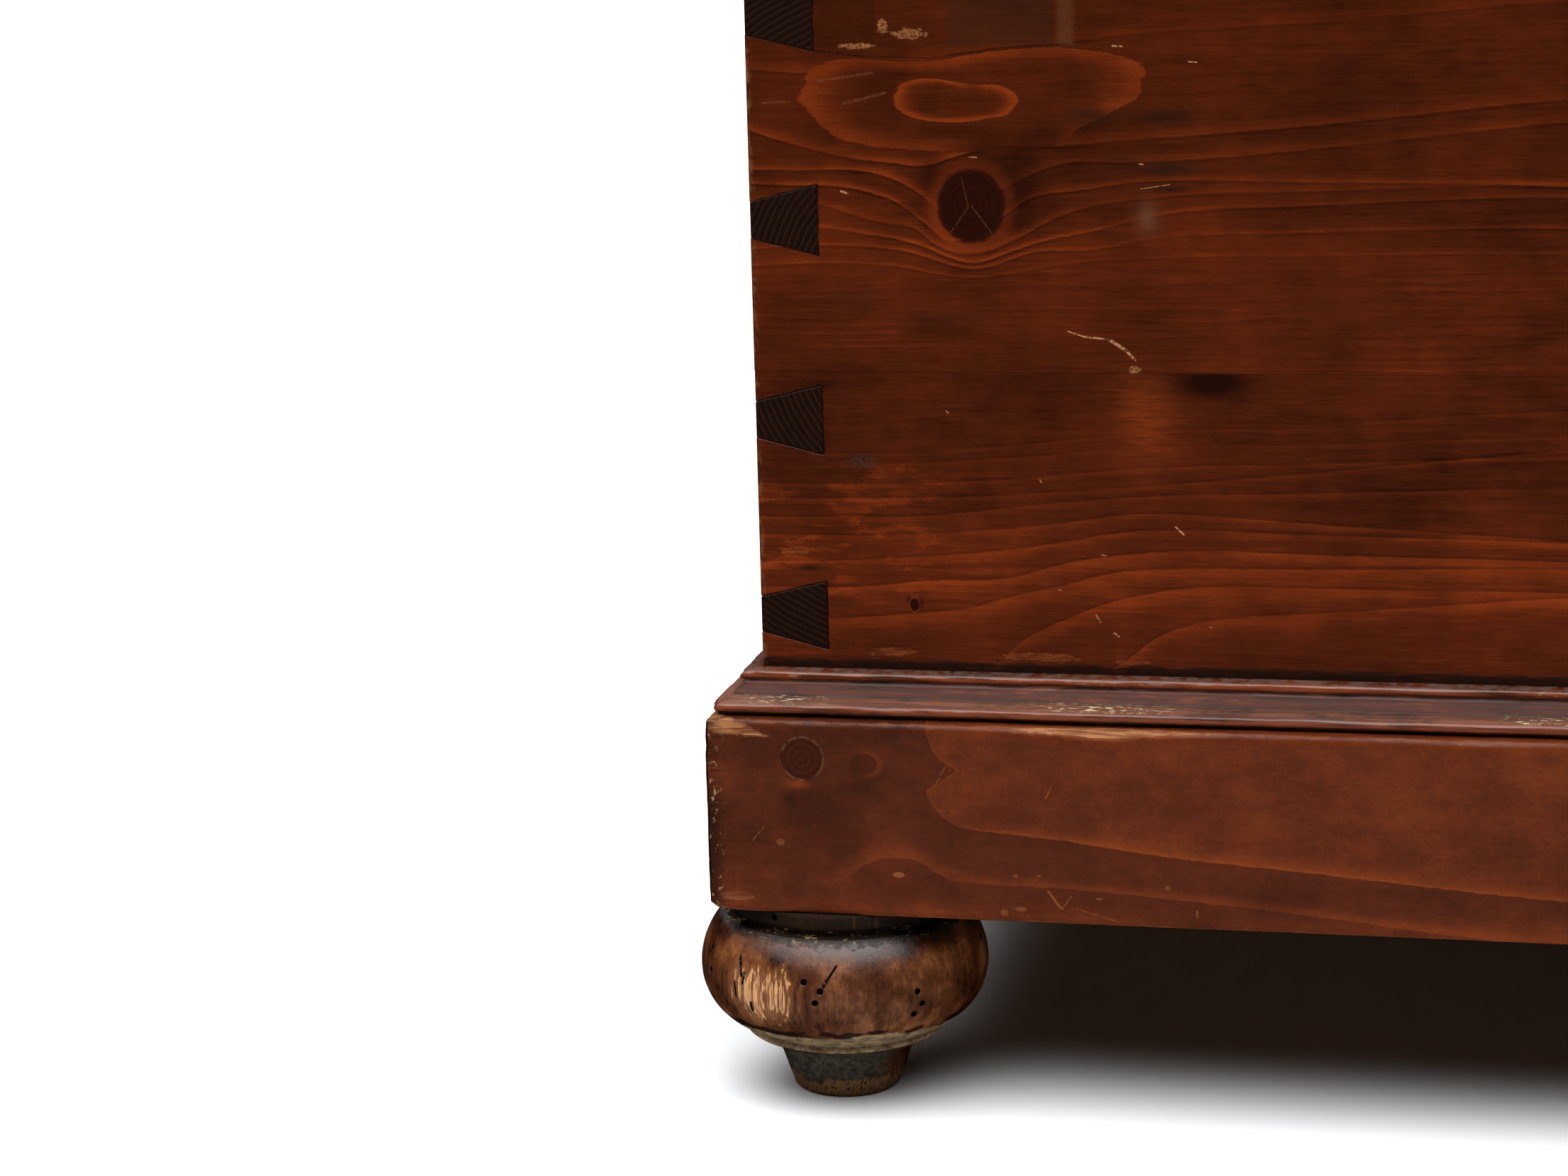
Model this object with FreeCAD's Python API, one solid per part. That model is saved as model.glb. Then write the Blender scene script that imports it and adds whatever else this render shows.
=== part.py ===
import FreeCAD, Part
import math
import os

Vector = FreeCAD.Vector

# Case: front and back boards carry the tails, side boards carry the pins
case_length = 1100.0
case_depth = 500.0
case_height = 447.0
board_thickness = 22.0
front_lower_board_width = 143.5
side_lower_board_width = 159.5
full_pins = 6
pin_width = 22.5
pin_slope = 0.25

# Bottom of tongued boards, held between the walls
bottom_thickness = 16.0
bottom_board_count = 3
tongue_length = 6.0
tongue_thickness = 5.0
tongue_clearance = 0.5

# Base: plinth boards on three sides, a rail at the back, blocks in the corners
corner_block_height = 32.0
corner_block_width = 96.0
corner_block_shoulder = 48.0
plinth_height = 65.0
plinth_thickness = 16.5
plinth_top_round = 4.0
plinth_bottom_round = 1.5
plinth_corner_round = 3.0
back_rail_thickness = 20.0

# Moulding between plinth and case
base_moulding_height = 13.4
base_moulding_depth = 14.6

# Turned feet
foot_height = 70.0
foot_inset = 37.0
toe_radius = 18.0
toe_top_radius = 22.6
toe_height = 14.0
cove_height = 6.4
ring_radius = 33.8
ring_waist_radius = 31.0
ring_height = 3.4
bun_radius = 48.3
bun_low_radius = 33.4
bun_high_radius = 41.0
bun_belly_share = 0.523
bun_low_steps = 3
bun_high_steps = 2
neck_radius = 36.5
neck_height = 3.0
collar_radius = 39.4
collar_height = 5.5
tenon_width = 24.0
tenon_length = 28.0

# Open till at the left end of the inside
till_width = 150.0
till_height = 110.0
till_board = 10.0
till_drop = 12.0
till_housing = 6.0

# Lid of edge glued boards with a moulding that hangs down outside the case
lid_thickness = 20.0
lid_seat_gap = 0.5
lid_side_gap = 2.5
lid_front_board_width = 292.0
lid_back_round = 3.0
lid_moulding_height = 34.0
lid_moulding_depth = 15.0

# Iron strap hinges
hinge_inset = 215.0
hinge_plate = 3.0
hinge_width = 38.0
hinge_barrel_length = 18.0
hinge_pin_radius = 3.0
hinge_pin_end = 1.5
hinge_running_gap = 0.06
hinge_end_gap = 0.3
hinge_turning_gap = 0.5
strap_length = 300.0
strap_tip_width = 18.0
leaf_length = 150.0
leaf_tip_width = 20.0
spear_width = 34.0
spear_length = 38.0

# Nails
nail_width = 3.0
nail_length = 17.0
nail_head_width = 8.0
nail_head_height = 1.2
pin_nail_width = 1.4
pin_nail_length = 9.0
pin_nail_head = 0.6

# Lock inside the front, with a bolt that slides through a loop on the lid
lock_width = 100.0
lock_height = 74.0
lock_room = 18.0
lock_plate = 2.0
lock_plate_margin = 14.0
lock_wall = 2.5
bolt_height = 10.0
bolt_thickness = 5.0
bolt_length = 71.0
bolt_drop = 26.0
bolt_travel = 10.0
bolt_guide_gap = 0.25
guide_width = 6.0
guide_wall = 3.0
guide_spacing = 54.0
loop_position = 32.0
loop_width = 4.0
loop_bar = 3.0
loop_gap = 1.5
loop_slot_gap = 2.0
strike_length = 64.0
strike_width = 24.0
strike_plate = 2.0

# Key and escutcheon
key_drop = 41.0
key_radius = 3.5
key_gap = 1.0
key_bit_reach = 13.5
key_bit_thickness = 3.0
key_bit_length = 11.0
key_end_gap = 2.0
bow_radius = 9.2
bow_rim = 3.2
bow_thickness = 3.6
bow_stand_off = 8.6
escutcheon_thickness = 1.5
escutcheon_half_width = 20.0
escutcheon_rise = 24.0
escutcheon_fall = 36.0

# Levels and places that follow from the sizes above, with the corner of the case at x = 0, y = 0
case_bottom = foot_height + corner_block_height
case_top = case_bottom + case_height
plinth_top = foot_height + plinth_height
lid_under = case_top + lid_seat_gap
lid_top = lid_under + lid_thickness
pin_pitch = case_height / (full_pins + 1)
barrel_radius = hinge_pin_radius + hinge_plate
hinge_axis_y = case_depth + barrel_radius
hinge_axis_z = lid_under + hinge_plate - barrel_radius
lock_x = case_length / 2
lock_front = board_thickness + lock_plate
bolt_y = lock_front + lock_room / 2
bolt_z = case_top - bolt_drop
key_z = case_top - key_drop
foot_setback = foot_inset - plinth_thickness
front_reach = foot_setback - bun_radius
back_reach = max(case_depth - foot_inset + bun_radius, hinge_axis_y + barrel_radius)
footprint_centre = Vector(case_length / 2, (front_reach + back_reach) / 2, 0)


def block(x_low, x_high, y_low, y_high, z_low, z_high):
    """A rectangular solid between two opposite corners."""
    corner = Vector(x_low, y_low, z_low)
    return Part.makeBox(x_high - x_low, y_high - y_low, z_high - z_low, corner)


def prism(points, travel):
    """A flat outline of straight edges, pushed along a vector."""
    return Part.Face(Part.makePolygon(points + [points[0]])).extrude(travel)


def outline_wire(outline, place):
    """A closed wire from steps: one point is a straight step, two points an arc through the first."""
    start = place(*outline[0][0])
    here = start
    edges = []
    for step in outline[1:] + [outline[0]]:
        end = place(*step[-1])
        if len(step) == 2:
            edges.append(Part.Arc(here, place(*step[0]), end).toShape())
        else:
            edges.append(Part.LineSegment(here, end).toShape())
        here = end
    return Part.Wire(edges)


def edge_rounder(x, y, x_side, y_side, radius, z_low, z_high):
    """What is cut away to round an upright edge; the sides say which way the wood lies."""
    x_centre = x + x_side * radius
    y_centre = y + y_side * radius
    square = block(
        min(x - x_side, x_centre), max(x - x_side, x_centre),
        min(y - y_side, y_centre), max(y - y_side, y_centre),
        z_low, z_high,
    )
    return square.cut(Part.makeCylinder(radius, z_high - z_low, Vector(x_centre, y_centre, z_low)))


def mitred_band(outline, x_high, y_high, depth, height, level):
    """Front, left and right runs of a moulding round a case corner at the origin, mitred at the front.

    The outline is in shares of depth and height, measured out from the wood it is fixed to.
    """
    def front_place(out, up):
        return Vector(-depth, -out * depth, level + up * height)

    def left_place(out, up):
        return Vector(-out * depth, -depth, level + up * height)

    front_plan = [
        Vector(-depth, -depth, level), Vector(x_high + depth, -depth, level),
        Vector(x_high, 0, level), Vector(0, 0, level),
    ]
    left_plan = [
        Vector(-depth, -depth, level), Vector(0, 0, level),
        Vector(0, y_high, level), Vector(-depth, y_high, level),
    ]
    front = Part.Face(outline_wire(outline, front_place)).extrude(Vector(x_high + 2 * depth, 0, 0))
    front = front.common(prism(front_plan, Vector(0, 0, height)))
    left = Part.Face(outline_wire(outline, left_place)).extrude(Vector(0, y_high + depth, 0))
    left = left.common(prism(left_plan, Vector(0, 0, height)))
    right = left.mirror(Vector(x_high / 2, 0, 0), Vector(1, 0, 0))
    return front, left, right


def square_nail(tip_side, point, width, length, head_width, head_height):
    """A cut nail with a low four sided head, driven from a point in the given direction."""
    half = width / 2
    nail = block(-half, half, -half, half, 0, length)
    if head_height > 0:
        rim = head_width / 2
        crown = rim / 2
        head = Part.makeWedge(
            -rim, 0, -rim, -crown, -crown,
            rim, head_height, rim, crown, crown,
        )
        head.rotate(Vector(0, 0, 0), Vector(1, 0, 0), -90)
        nail = nail.fuse(head).removeSplitter()
    nail.Placement = FreeCAD.Placement(point, FreeCAD.Rotation(Vector(0, 0, 1), tip_side))
    return nail


def headed_nail(tip_side, point, length):
    """A cut nail of the common size, whose head stands out from the iron that it holds."""
    return square_nail(tip_side, point, nail_width, length, nail_head_width, nail_head_height)


def pin_outlines():
    """Outlines of the pins at the left end, as seen on the front: narrow at the corner."""
    inner = pin_width / 2
    outer = inner - pin_slope * board_thickness
    outlines = []
    for number in range(full_pins + 2):
        middle = case_bottom + number * pin_pitch
        low = 0 if number == 0 else 1
        high = 0 if number == full_pins + 1 else 1
        outlines.append([
            Vector(0, 0, middle - low * outer), Vector(board_thickness, 0, middle - low * inner),
            Vector(board_thickness, 0, middle + high * inner), Vector(0, 0, middle + high * outer),
        ])
    return outlines


def side_pins():
    """Every pin of the left side board, front and back, as one compound."""
    pins = []
    for outline in pin_outlines():
        front_pin = prism(outline, Vector(0, board_thickness, 0))
        back_pin = front_pin.copy()
        back_pin.translate(Vector(0, case_depth - board_thickness, 0))
        pins += [front_pin, back_pin]
    return Part.Compound(pins)


def mirrored(shape):
    """The same piece at the other end of the case."""
    return shape.mirror(Vector(case_length / 2, 0, 0), Vector(1, 0, 0))


def level_slab(z_low, z_high):
    """A slab wider than the chest, for taking one board's share of a wall."""
    reach = case_length + case_depth
    return block(-reach, case_length + reach, -reach, case_depth + reach, z_low, z_high)


def wall_boards(cut_from_walls):
    """Front, back, left and right walls, each of a lower and an upper board."""
    left_pins = side_pins()
    sockets = Part.Compound([left_pins, mirrored(left_pins)])
    front = block(0, case_length, 0, board_thickness, case_bottom, case_top)
    back = block(0, case_length, case_depth - board_thickness, case_depth, case_bottom, case_top)
    left = block(0, board_thickness, board_thickness, case_depth - board_thickness, case_bottom, case_top)
    left = left.fuse(left_pins.Solids).removeSplitter()
    walls = {
        "front": (front.cut(sockets), front_lower_board_width),
        "back": (back.cut(sockets), front_lower_board_width),
        "left": (left, side_lower_board_width),
        "right": (mirrored(left), side_lower_board_width),
    }
    boards = {}
    for side, (wall, lower_width) in walls.items():
        wall = wall.cut(cut_from_walls)
        joint = case_bottom + lower_width
        boards[side + "_board_lower"] = wall.common(level_slab(case_bottom, joint))
        boards[side + "_board_upper"] = wall.common(level_slab(joint, case_top))
    return boards


def bottom_boards():
    """Boards along the length of the chest, each with a tongue in the next one's groove."""
    x_low = board_thickness
    x_high = case_length - board_thickness
    width = (case_depth - 2 * board_thickness) / bottom_board_count
    tongue_low = case_bottom + (bottom_thickness - tongue_thickness) / 2
    tongue_high = tongue_low + tongue_thickness
    boards = []
    for number in range(bottom_board_count):
        y_low = board_thickness + number * width
        y_high = y_low + width
        board = block(x_low, x_high, y_low, y_high, case_bottom, case_bottom + bottom_thickness)
        if number + 1 < bottom_board_count:
            tongue_end = y_high + tongue_length
            board = board.fuse(block(x_low, x_high, y_high, tongue_end, tongue_low, tongue_high))
        if number > 0:
            groove = tongue_length + tongue_clearance
            board = board.cut(block(x_low, x_high, y_low, y_low + groove, tongue_low, tongue_high))
        boards.append(board.removeSplitter())
    return boards


def plinth_boards():
    """Plinth boards with worn edges, and the rail behind that closes the frame."""
    top = 1 - plinth_top_round / plinth_height
    foot = plinth_bottom_round / plinth_height
    top_in = 1 - plinth_top_round / plinth_thickness
    foot_in = 1 - plinth_bottom_round / plinth_thickness
    bulge = 1 - math.sqrt(0.5)
    outline = [
        ((0, 0),),
        ((foot_in, 0),),
        ((1 - bulge * (1 - foot_in), bulge * foot), (1, foot)),
        ((1, top),),
        ((1 - bulge * (1 - top_in), 1 - bulge * (1 - top)), (top_in, 1)),
        ((0, 1),),
    ]
    front, left, right = mitred_band(
        outline, case_length, case_depth, plinth_thickness, plinth_height, foot_height,
    )
    corner = -plinth_thickness
    rounder = edge_rounder(corner, corner, 1, 1, plinth_corner_round, foot_height, plinth_top)
    worn = Part.Compound([rounder, mirrored(rounder)])
    rail = block(0, case_length, case_depth - back_rail_thickness, case_depth, foot_height, case_bottom)
    return front.cut(worn), left.cut(worn), right.cut(worn), rail


def base_mouldings():
    """Bead, wash, cove and rounded top nose, as one strip mitred at the corners."""
    outline = [
        ((0, 0),),
        ((0.86, 0),),
        ((0.86, 0.09),),
        ((1.0, 0.2), (0.88, 0.32)),
        ((0.62, 0.43),),
        ((0.56, 0.43),),
        ((0.56, 0.48),),
        ((0.41, 0.56), (0.35, 0.71)),
        ((0.29, 0.71),),
        ((0.29, 0.77),),
        ((0.385, 0.87), (0.31, 0.97)),
        ((0, 1),),
    ]
    return mitred_band(
        outline, case_length, case_depth, base_moulding_depth, base_moulding_height, plinth_top,
    )


def lid_mouldings():
    """Lip moulding of the lid: bead below, cove, and a rounded upper edge."""
    outline = [
        ((0, 0),),
        ((0.52, 0),),
        ((0.7, 0.075), (0.52, 0.15)),
        ((0.46, 0.15),),
        ((0.46, 0.2),),
        ((0.58, 0.42), (0.86, 0.56)),
        ((0.86, 0.6),),
        ((1, 0.6),),
        ((1, 0.8),),
        ((0.9, 0.945), (0.58, 1)),
        ((0, 1),),
    ]
    pieces = mitred_band(
        outline, case_length + 2 * lid_side_gap, case_depth + lid_side_gap,
        lid_moulding_depth, lid_moulding_height, lid_top - lid_moulding_height,
    )
    for piece in pieces:
        piece.translate(Vector(-lid_side_gap, -lid_side_gap, 0))
    return pieces


def foot_places():
    """The four foot axes, with the way towards the middle of the chest."""
    back_y = case_depth - foot_inset
    return {
        "front_left": (foot_setback, foot_setback, 1, 1),
        "front_right": (case_length - foot_setback, foot_setback, -1, 1),
        "back_left": (foot_setback, back_y, 1, -1),
        "back_right": (case_length - foot_setback, back_y, -1, -1),
    }


def bun_curve(end_radius, end_level, belly, steps):
    """Points round one half of the bun, from its belly, where the side is upright, to an end."""
    rise = end_level - belly
    drop = bun_radius - end_radius
    radius = (rise ** 2 + drop ** 2) / (2 * drop)
    whole_turn = math.asin(rise / radius)
    centre = bun_radius - radius
    points = []
    for step in range(steps + 1):
        turn = whole_turn * step / steps
        points.append(Vector(centre + radius * math.cos(turn), 0, belly + radius * math.sin(turn)))
    return points


def tenon(x, y, length):
    """The square tenon on a foot, as far as a length above the foot's shoulder."""
    half = tenon_width / 2
    return block(x - half, x + half, y - half, y + half, foot_height, foot_height + length)


def foot(x, y):
    """One turned foot: toe, cove, ring, bun, neck and collar, with a square tenon left on top."""
    ring_low = toe_height + cove_height
    bun_low = ring_low + ring_height
    bun_high = foot_height - collar_height - neck_height
    belly = bun_low + bun_belly_share * (bun_high - bun_low)
    lower = bun_curve(bun_low_radius, bun_low, belly, bun_low_steps)
    upper = bun_curve(bun_high_radius, bun_high, belly, bun_high_steps)
    outline = [
        Vector(0, 0, 0),
        Vector(toe_radius, 0, 0),
        Vector(toe_top_radius, 0, toe_height),
        Vector(ring_waist_radius, 0, ring_low),
        Vector(ring_radius, 0, ring_low + ring_height / 2),
    ]
    outline += lower[::-1] + upper[1:]
    outline += [
        Vector(neck_radius, 0, bun_high + neck_height),
        Vector(collar_radius, 0, bun_high + neck_height),
        Vector(collar_radius, 0, foot_height),
        Vector(0, 0, foot_height),
        Vector(0, 0, 0),
    ]
    solid = Part.Face(Part.makePolygon(outline)).revolve(Vector(0, 0, 0), Vector(0, 0, 1), 360)
    solid.translate(Vector(x, y, 0))
    return solid.fuse(tenon(x, y, tenon_length))


def corner_block(x, y, x_way, y_way):
    """A five sided block in the corner of the base, with a mortise for the foot's tenon."""
    x_corner = 0 if x_way > 0 else case_length
    y_corner = 0 if y_way > 0 else case_depth - back_rail_thickness
    shares = [
        (0, 0), (corner_block_width, 0), (corner_block_width, corner_block_shoulder),
        (corner_block_shoulder, corner_block_width), (0, corner_block_width),
    ]
    points = [Vector(x_corner + x_way * a, y_corner + y_way * b, foot_height) for a, b in shares]
    wood = prism(points, Vector(0, 0, corner_block_height))
    return wood.cut(tenon(x, y, tenon_length))


def till_pieces():
    """Side and floor of the open till, let into the front, back and left walls."""
    top = case_top - till_drop
    floor_low = top - till_height
    side_x = board_thickness + till_width
    y_low = board_thickness - till_housing
    y_high = case_depth - board_thickness + till_housing
    side = block(side_x, side_x + till_board, y_low, y_high, floor_low, top)
    side = side.cut(edge_rounder_along_y(side_x + till_board / 2, y_low, y_high, top, till_board / 2))
    floor = block(board_thickness - till_housing, side_x, y_low, y_high, floor_low, floor_low + till_board)
    return side, floor


def edge_rounder_along_y(x, y_low, y_high, top, radius):
    """What is cut away to leave a half round top edge on an upright board."""
    square = block(x - radius - 1, x + radius + 1, y_low, y_high, top - radius, top + 1)
    bar = Part.makeCylinder(radius, y_high - y_low, Vector(x, y_low, top - radius), Vector(0, 1, 0))
    return square.cut(bar)


def hinge_places():
    """Middle of each hinge along the chest."""
    return {"left": hinge_inset, "right": case_length - hinge_inset}


def tapered_plate(length, root_width, tip_width, place, normal):
    """A strap that narrows towards its tip and ends in a spear point."""
    halves = [
        (root_width / 2, 0), (tip_width / 2, length - spear_length),
        (spear_width / 2, length - 0.7 * spear_length),
    ]
    right = [place(across, along) for across, along in halves]
    left = [place(-across, along) for across, along in reversed(halves)]
    return prism(right + [place(0, length)] + left, normal)


def barrel(x, length, radius):
    """A cylinder on the hinge axis, centred along the chest at x."""
    start = Vector(x - length / 2, hinge_axis_y, hinge_axis_z)
    return Part.makeCylinder(radius, length, start, Vector(1, 0, 0))


def eye(place, length):
    """A hinge eye: a plate that is rolled round the pin, pushed along the pin's axis.

    The place function takes how far along the plate past the axis, and how deep from its outer face.
    """
    rise = barrel_radius - hinge_plate
    reach = math.sqrt(barrel_radius ** 2 - rise ** 2)
    lead = 2 * reach
    half_turn = (1.5 * math.pi + math.asin(rise / barrel_radius)) / 2
    far = place(0, 2 * barrel_radius)
    back_past = barrel_radius * math.cos(half_turn)
    back = place(back_past, barrel_radius + barrel_radius * math.sin(half_turn))
    close = place(-reach, hinge_plate)
    edges = [
        Part.LineSegment(place(-lead, 0), place(0, 0)).toShape(),
        Part.Arc(place(0, 0), place(barrel_radius, barrel_radius), far).toShape(),
        Part.Arc(far, back, close).toShape(),
        Part.LineSegment(close, place(-lead, hinge_plate)).toShape(),
        Part.LineSegment(place(-lead, hinge_plate), place(-lead, 0)).toShape(),
    ]
    return Part.Face(Part.Wire(edges)).extrude(Vector(length, 0, 0))


def hinge_strap(x):
    """Lid half of a strap hinge: strap let in under the lid, and the middle knuckle."""
    def place(across, along):
        return Vector(x + across, case_depth - along, lid_under)

    half = hinge_barrel_length / 2 - hinge_end_gap

    def eye_place(past, deep):
        return Vector(x - half, hinge_axis_y + past, lid_under + hinge_plate - deep)

    strap = tapered_plate(strap_length, hinge_width, strap_tip_width, place, Vector(0, 0, hinge_plate))
    strap = strap.fuse(eye(eye_place, 2 * half)).removeSplitter()
    return strap.cut(barrel(x, 2 * half + 2, hinge_pin_radius + hinge_running_gap))


def hinge_leaf(x):
    """Case half of a strap hinge: leaf on the back of the case, and the two outer knuckles."""
    clearance = barrel_radius + hinge_turning_gap

    def place(across, along):
        return Vector(x + across, case_depth, hinge_axis_z - clearance - along)

    outward = Vector(0, hinge_plate, 0)
    leaf = tapered_plate(leaf_length - clearance, hinge_width, leaf_tip_width, place, outward)
    knuckle = (hinge_width - hinge_barrel_length) / 2
    eyes = []
    for start in (x - hinge_width / 2, x + hinge_barrel_length / 2):
        def eye_place(past, deep):
            return Vector(start, case_depth + deep, hinge_axis_z + past)

        eyes.append(eye(eye_place, knuckle))
    return leaf.fuse(eyes).removeSplitter().cut(barrel(x, hinge_width + 2, hinge_pin_radius))


def hinge_pin(x):
    """Iron pin through the knuckles."""
    return barrel(x, hinge_width + 2 * hinge_pin_end, hinge_pin_radius)


def strap_nails():
    """Nails up through the straps into the lid."""
    places = []
    for x in hinge_places().values():
        for share in (0.17, 0.4, 0.63, 0.91):
            places.append(Vector(x, case_depth - share * strap_length, lid_under))
    up = Vector(0, 0, 1)
    return Part.Compound([headed_nail(up, place, nail_length) for place in places])


def leaf_nails():
    """Nails through the back leaves into the case."""
    places = []
    for x in hinge_places().values():
        for share in (0.2, 0.5, 0.83):
            places.append(Vector(x, case_depth + hinge_plate, hinge_axis_z - share * leaf_length))
    forward = Vector(0, -1, 0)
    return Part.Compound([headed_nail(forward, place, nail_length) for place in places])


def keyhole(y_low, y_high):
    """Round hole with a slot below it, right through from one depth to another."""
    radius = key_radius + key_gap
    half = key_bit_thickness / 2 + key_gap
    hole = Part.makeCylinder(radius, y_high - y_low, Vector(lock_x, y_low, key_z), Vector(0, 1, 0))
    slot = block(lock_x - half, lock_x + half, y_low, y_high, key_z - key_bit_reach - key_gap, key_z)
    return hole.fuse(slot).removeSplitter()


def bolt_bar(grow, x_low, x_high):
    """The bolt's bar between two places, grown all round by a gap."""
    half_height = bolt_height / 2 + grow
    half_thickness = bolt_thickness / 2 + grow
    return block(
        x_low, x_high, bolt_y - half_thickness, bolt_y + half_thickness,
        bolt_z - half_height, bolt_z + half_height,
    )


def lock_bolt():
    """Bolt, drawn back, with the notch that the key's bit turns through."""
    nose = lock_x + loop_position - loop_width / 2 - loop_bar
    bar = bolt_bar(0, nose - bolt_length, nose)
    under = key_drop - bolt_drop - bolt_height / 2
    sweep = math.sqrt(key_bit_reach ** 2 - under ** 2)
    drift = bolt_travel * math.asin(sweep / key_bit_reach) / (2 * math.pi)
    half = sweep + key_bit_thickness / 2 + drift + key_gap / 2
    middle = lock_x - bolt_travel / 2
    notch = block(
        middle - half, middle + half, bolt_y - bolt_thickness, bolt_y + bolt_thickness,
        key_z, key_z + key_bit_reach + key_gap / 2,
    )
    chamfer = bolt_thickness / 4
    tip = [
        Vector(nose - chamfer, bolt_y + bolt_thickness / 2, bolt_z - bolt_height),
        Vector(nose + chamfer, bolt_y + bolt_thickness / 2, bolt_z - bolt_height),
        Vector(nose + chamfer, bolt_y + bolt_thickness / 2 - 2 * chamfer, bolt_z - bolt_height),
    ]
    return bar.cut(notch).cut(prism(tip, Vector(0, 0, 2 * bolt_height)))


def lock_back_plate(nails):
    """Plate on the inside of the front board, with the two guides that carry the bolt."""
    half = lock_width / 2 + lock_plate_margin
    plate = block(lock_x - half, lock_x + half, board_thickness, lock_front, case_top - lock_height, case_top)
    guide_back = bolt_y + bolt_thickness / 2 + bolt_guide_gap + guide_wall
    reach = bolt_height / 2 + bolt_guide_gap + guide_wall
    middle = lock_x + (loop_position - loop_width / 2 - guide_width * 1.5) - guide_spacing / 2
    guides = []
    for x in (middle - guide_spacing / 2, middle + guide_spacing / 2):
        x_low = x - guide_width / 2
        x_high = x + guide_width / 2
        guides.append(block(x_low, x_high, board_thickness, guide_back, bolt_z - reach, bolt_z + reach))
    plate = plate.fuse(guides).removeSplitter()
    tunnel = bolt_bar(bolt_guide_gap, middle - guide_spacing, middle + guide_spacing)
    return plate.cut(tunnel).cut(keyhole(board_thickness, lock_front)).cut(nails)


def lock_cover():
    """Box over the works, open to the plate, with a slot in its top for the loop."""
    half = lock_width / 2
    back = lock_front + lock_room
    outer = block(
        lock_x - half, lock_x + half, lock_front, back + lock_wall,
        case_top - lock_height, case_top,
    )
    inner = block(
        lock_x - half + lock_wall, lock_x + half - lock_wall, lock_front, back,
        case_top - lock_height + lock_wall, case_top - lock_wall,
    )
    loop_half = loop_width / 2 + loop_slot_gap
    loop_x = lock_x + loop_position
    side = loop_half_depth() + loop_slot_gap
    slot = block(
        loop_x - loop_half, loop_x + loop_half, bolt_y - side, bolt_y + side,
        case_top - 2 * lock_wall, case_top + 1,
    )
    return outer.cut(inner).cut(slot)


def loop_half_depth():
    """Half of the loop's size from front to back."""
    return bolt_thickness / 2 + loop_gap + loop_bar


def lid_strike(nails):
    """Plate let in under the lid, with the loop that the bolt passes through."""
    loop_x = lock_x + loop_position
    plate = block(
        loop_x - strike_length / 2, loop_x + strike_length / 2,
        bolt_y - strike_width / 2, bolt_y + strike_width / 2, lid_under, lid_under + strike_plate,
    )
    deep = loop_half_depth()
    eye_low = bolt_z - bolt_height / 2 - loop_gap
    eye_high = bolt_z + bolt_height / 2 + loop_gap
    loop = block(
        loop_x - loop_width / 2, loop_x + loop_width / 2, bolt_y - deep, bolt_y + deep,
        eye_low - loop_bar, lid_under,
    )
    eye = block(
        loop_x - loop_width, loop_x + loop_width, bolt_y - deep + loop_bar, bolt_y + deep - loop_bar,
        eye_low, eye_high,
    )
    return plate.fuse(loop).cut(eye).removeSplitter().cut(nails)


def strike_nails():
    """Flush nails that hold the strike plate under the lid."""
    loop_x = lock_x + loop_position
    offset = strike_length / 2 - nail_head_width
    up = Vector(0, 0, 1)
    nails = []
    for x in (loop_x - offset, loop_x + offset):
        nails.append(square_nail(up, Vector(x, bolt_y, lid_under), nail_width, nail_length, 0, 0))
    return Part.Compound(nails)


def lock_nails():
    """Nails through the ears of the lock plate into the front board."""
    x_offset = lock_width / 2 + lock_plate_margin / 2
    z_offset = lock_plate_margin / 2
    forward = Vector(0, -1, 0)
    length = board_thickness / 2
    nails = []
    for x in (lock_x - x_offset, lock_x + x_offset):
        for z in (case_top - lock_height + z_offset, case_top - z_offset * 2):
            nails.append(headed_nail(forward, Vector(x, lock_front, z), length))
    return Part.Compound(nails)


def escutcheon(pins):
    """Lozenge of brass round the keyhole, its lower point the longer one."""
    corners = [
        Vector(lock_x, 0, key_z + escutcheon_rise), Vector(lock_x + escutcheon_half_width, 0, key_z),
        Vector(lock_x, 0, key_z - escutcheon_fall), Vector(lock_x - escutcheon_half_width, 0, key_z),
    ]
    plate = prism(corners, Vector(0, -escutcheon_thickness, 0))
    return plate.cut(keyhole(-2 * escutcheon_thickness, board_thickness)).cut(pins)


def escutcheon_pins():
    """Small pins at the top and foot of the escutcheon."""
    inward = Vector(0, 1, 0)
    head_width = 2 * pin_nail_width
    pins = []
    for z in (key_z + 0.7 * escutcheon_rise, key_z - 0.74 * escutcheon_fall):
        start = Vector(lock_x, -escutcheon_thickness, z)
        pins.append(square_nail(inward, start, pin_nail_width, pin_nail_length, head_width, pin_nail_head))
    return Part.Compound(pins)


def key():
    """Key in the lock with its bit down: ring bow, stem and bit."""
    end = lock_front + lock_room - key_end_gap
    bow_start = Vector(lock_x - bow_thickness / 2, -bow_stand_off - bow_radius, key_z)
    stem_start = -bow_stand_off - bow_rim / 2
    across = Vector(1, 0, 0)
    stem_foot = Vector(lock_x, stem_start, key_z)
    stem = Part.makeCylinder(key_radius, end - stem_start, stem_foot, Vector(0, 1, 0))
    bow = Part.makeCylinder(bow_radius, bow_thickness, bow_start, across)
    bow = bow.cut(Part.makeCylinder(bow_radius - bow_rim, bow_thickness, bow_start, across))
    bit = block(
        lock_x - key_bit_thickness / 2, lock_x + key_bit_thickness / 2,
        end - key_bit_length, end, key_z - key_bit_reach, key_z,
    )
    return stem.fuse([bow, bit]).removeSplitter()


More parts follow.
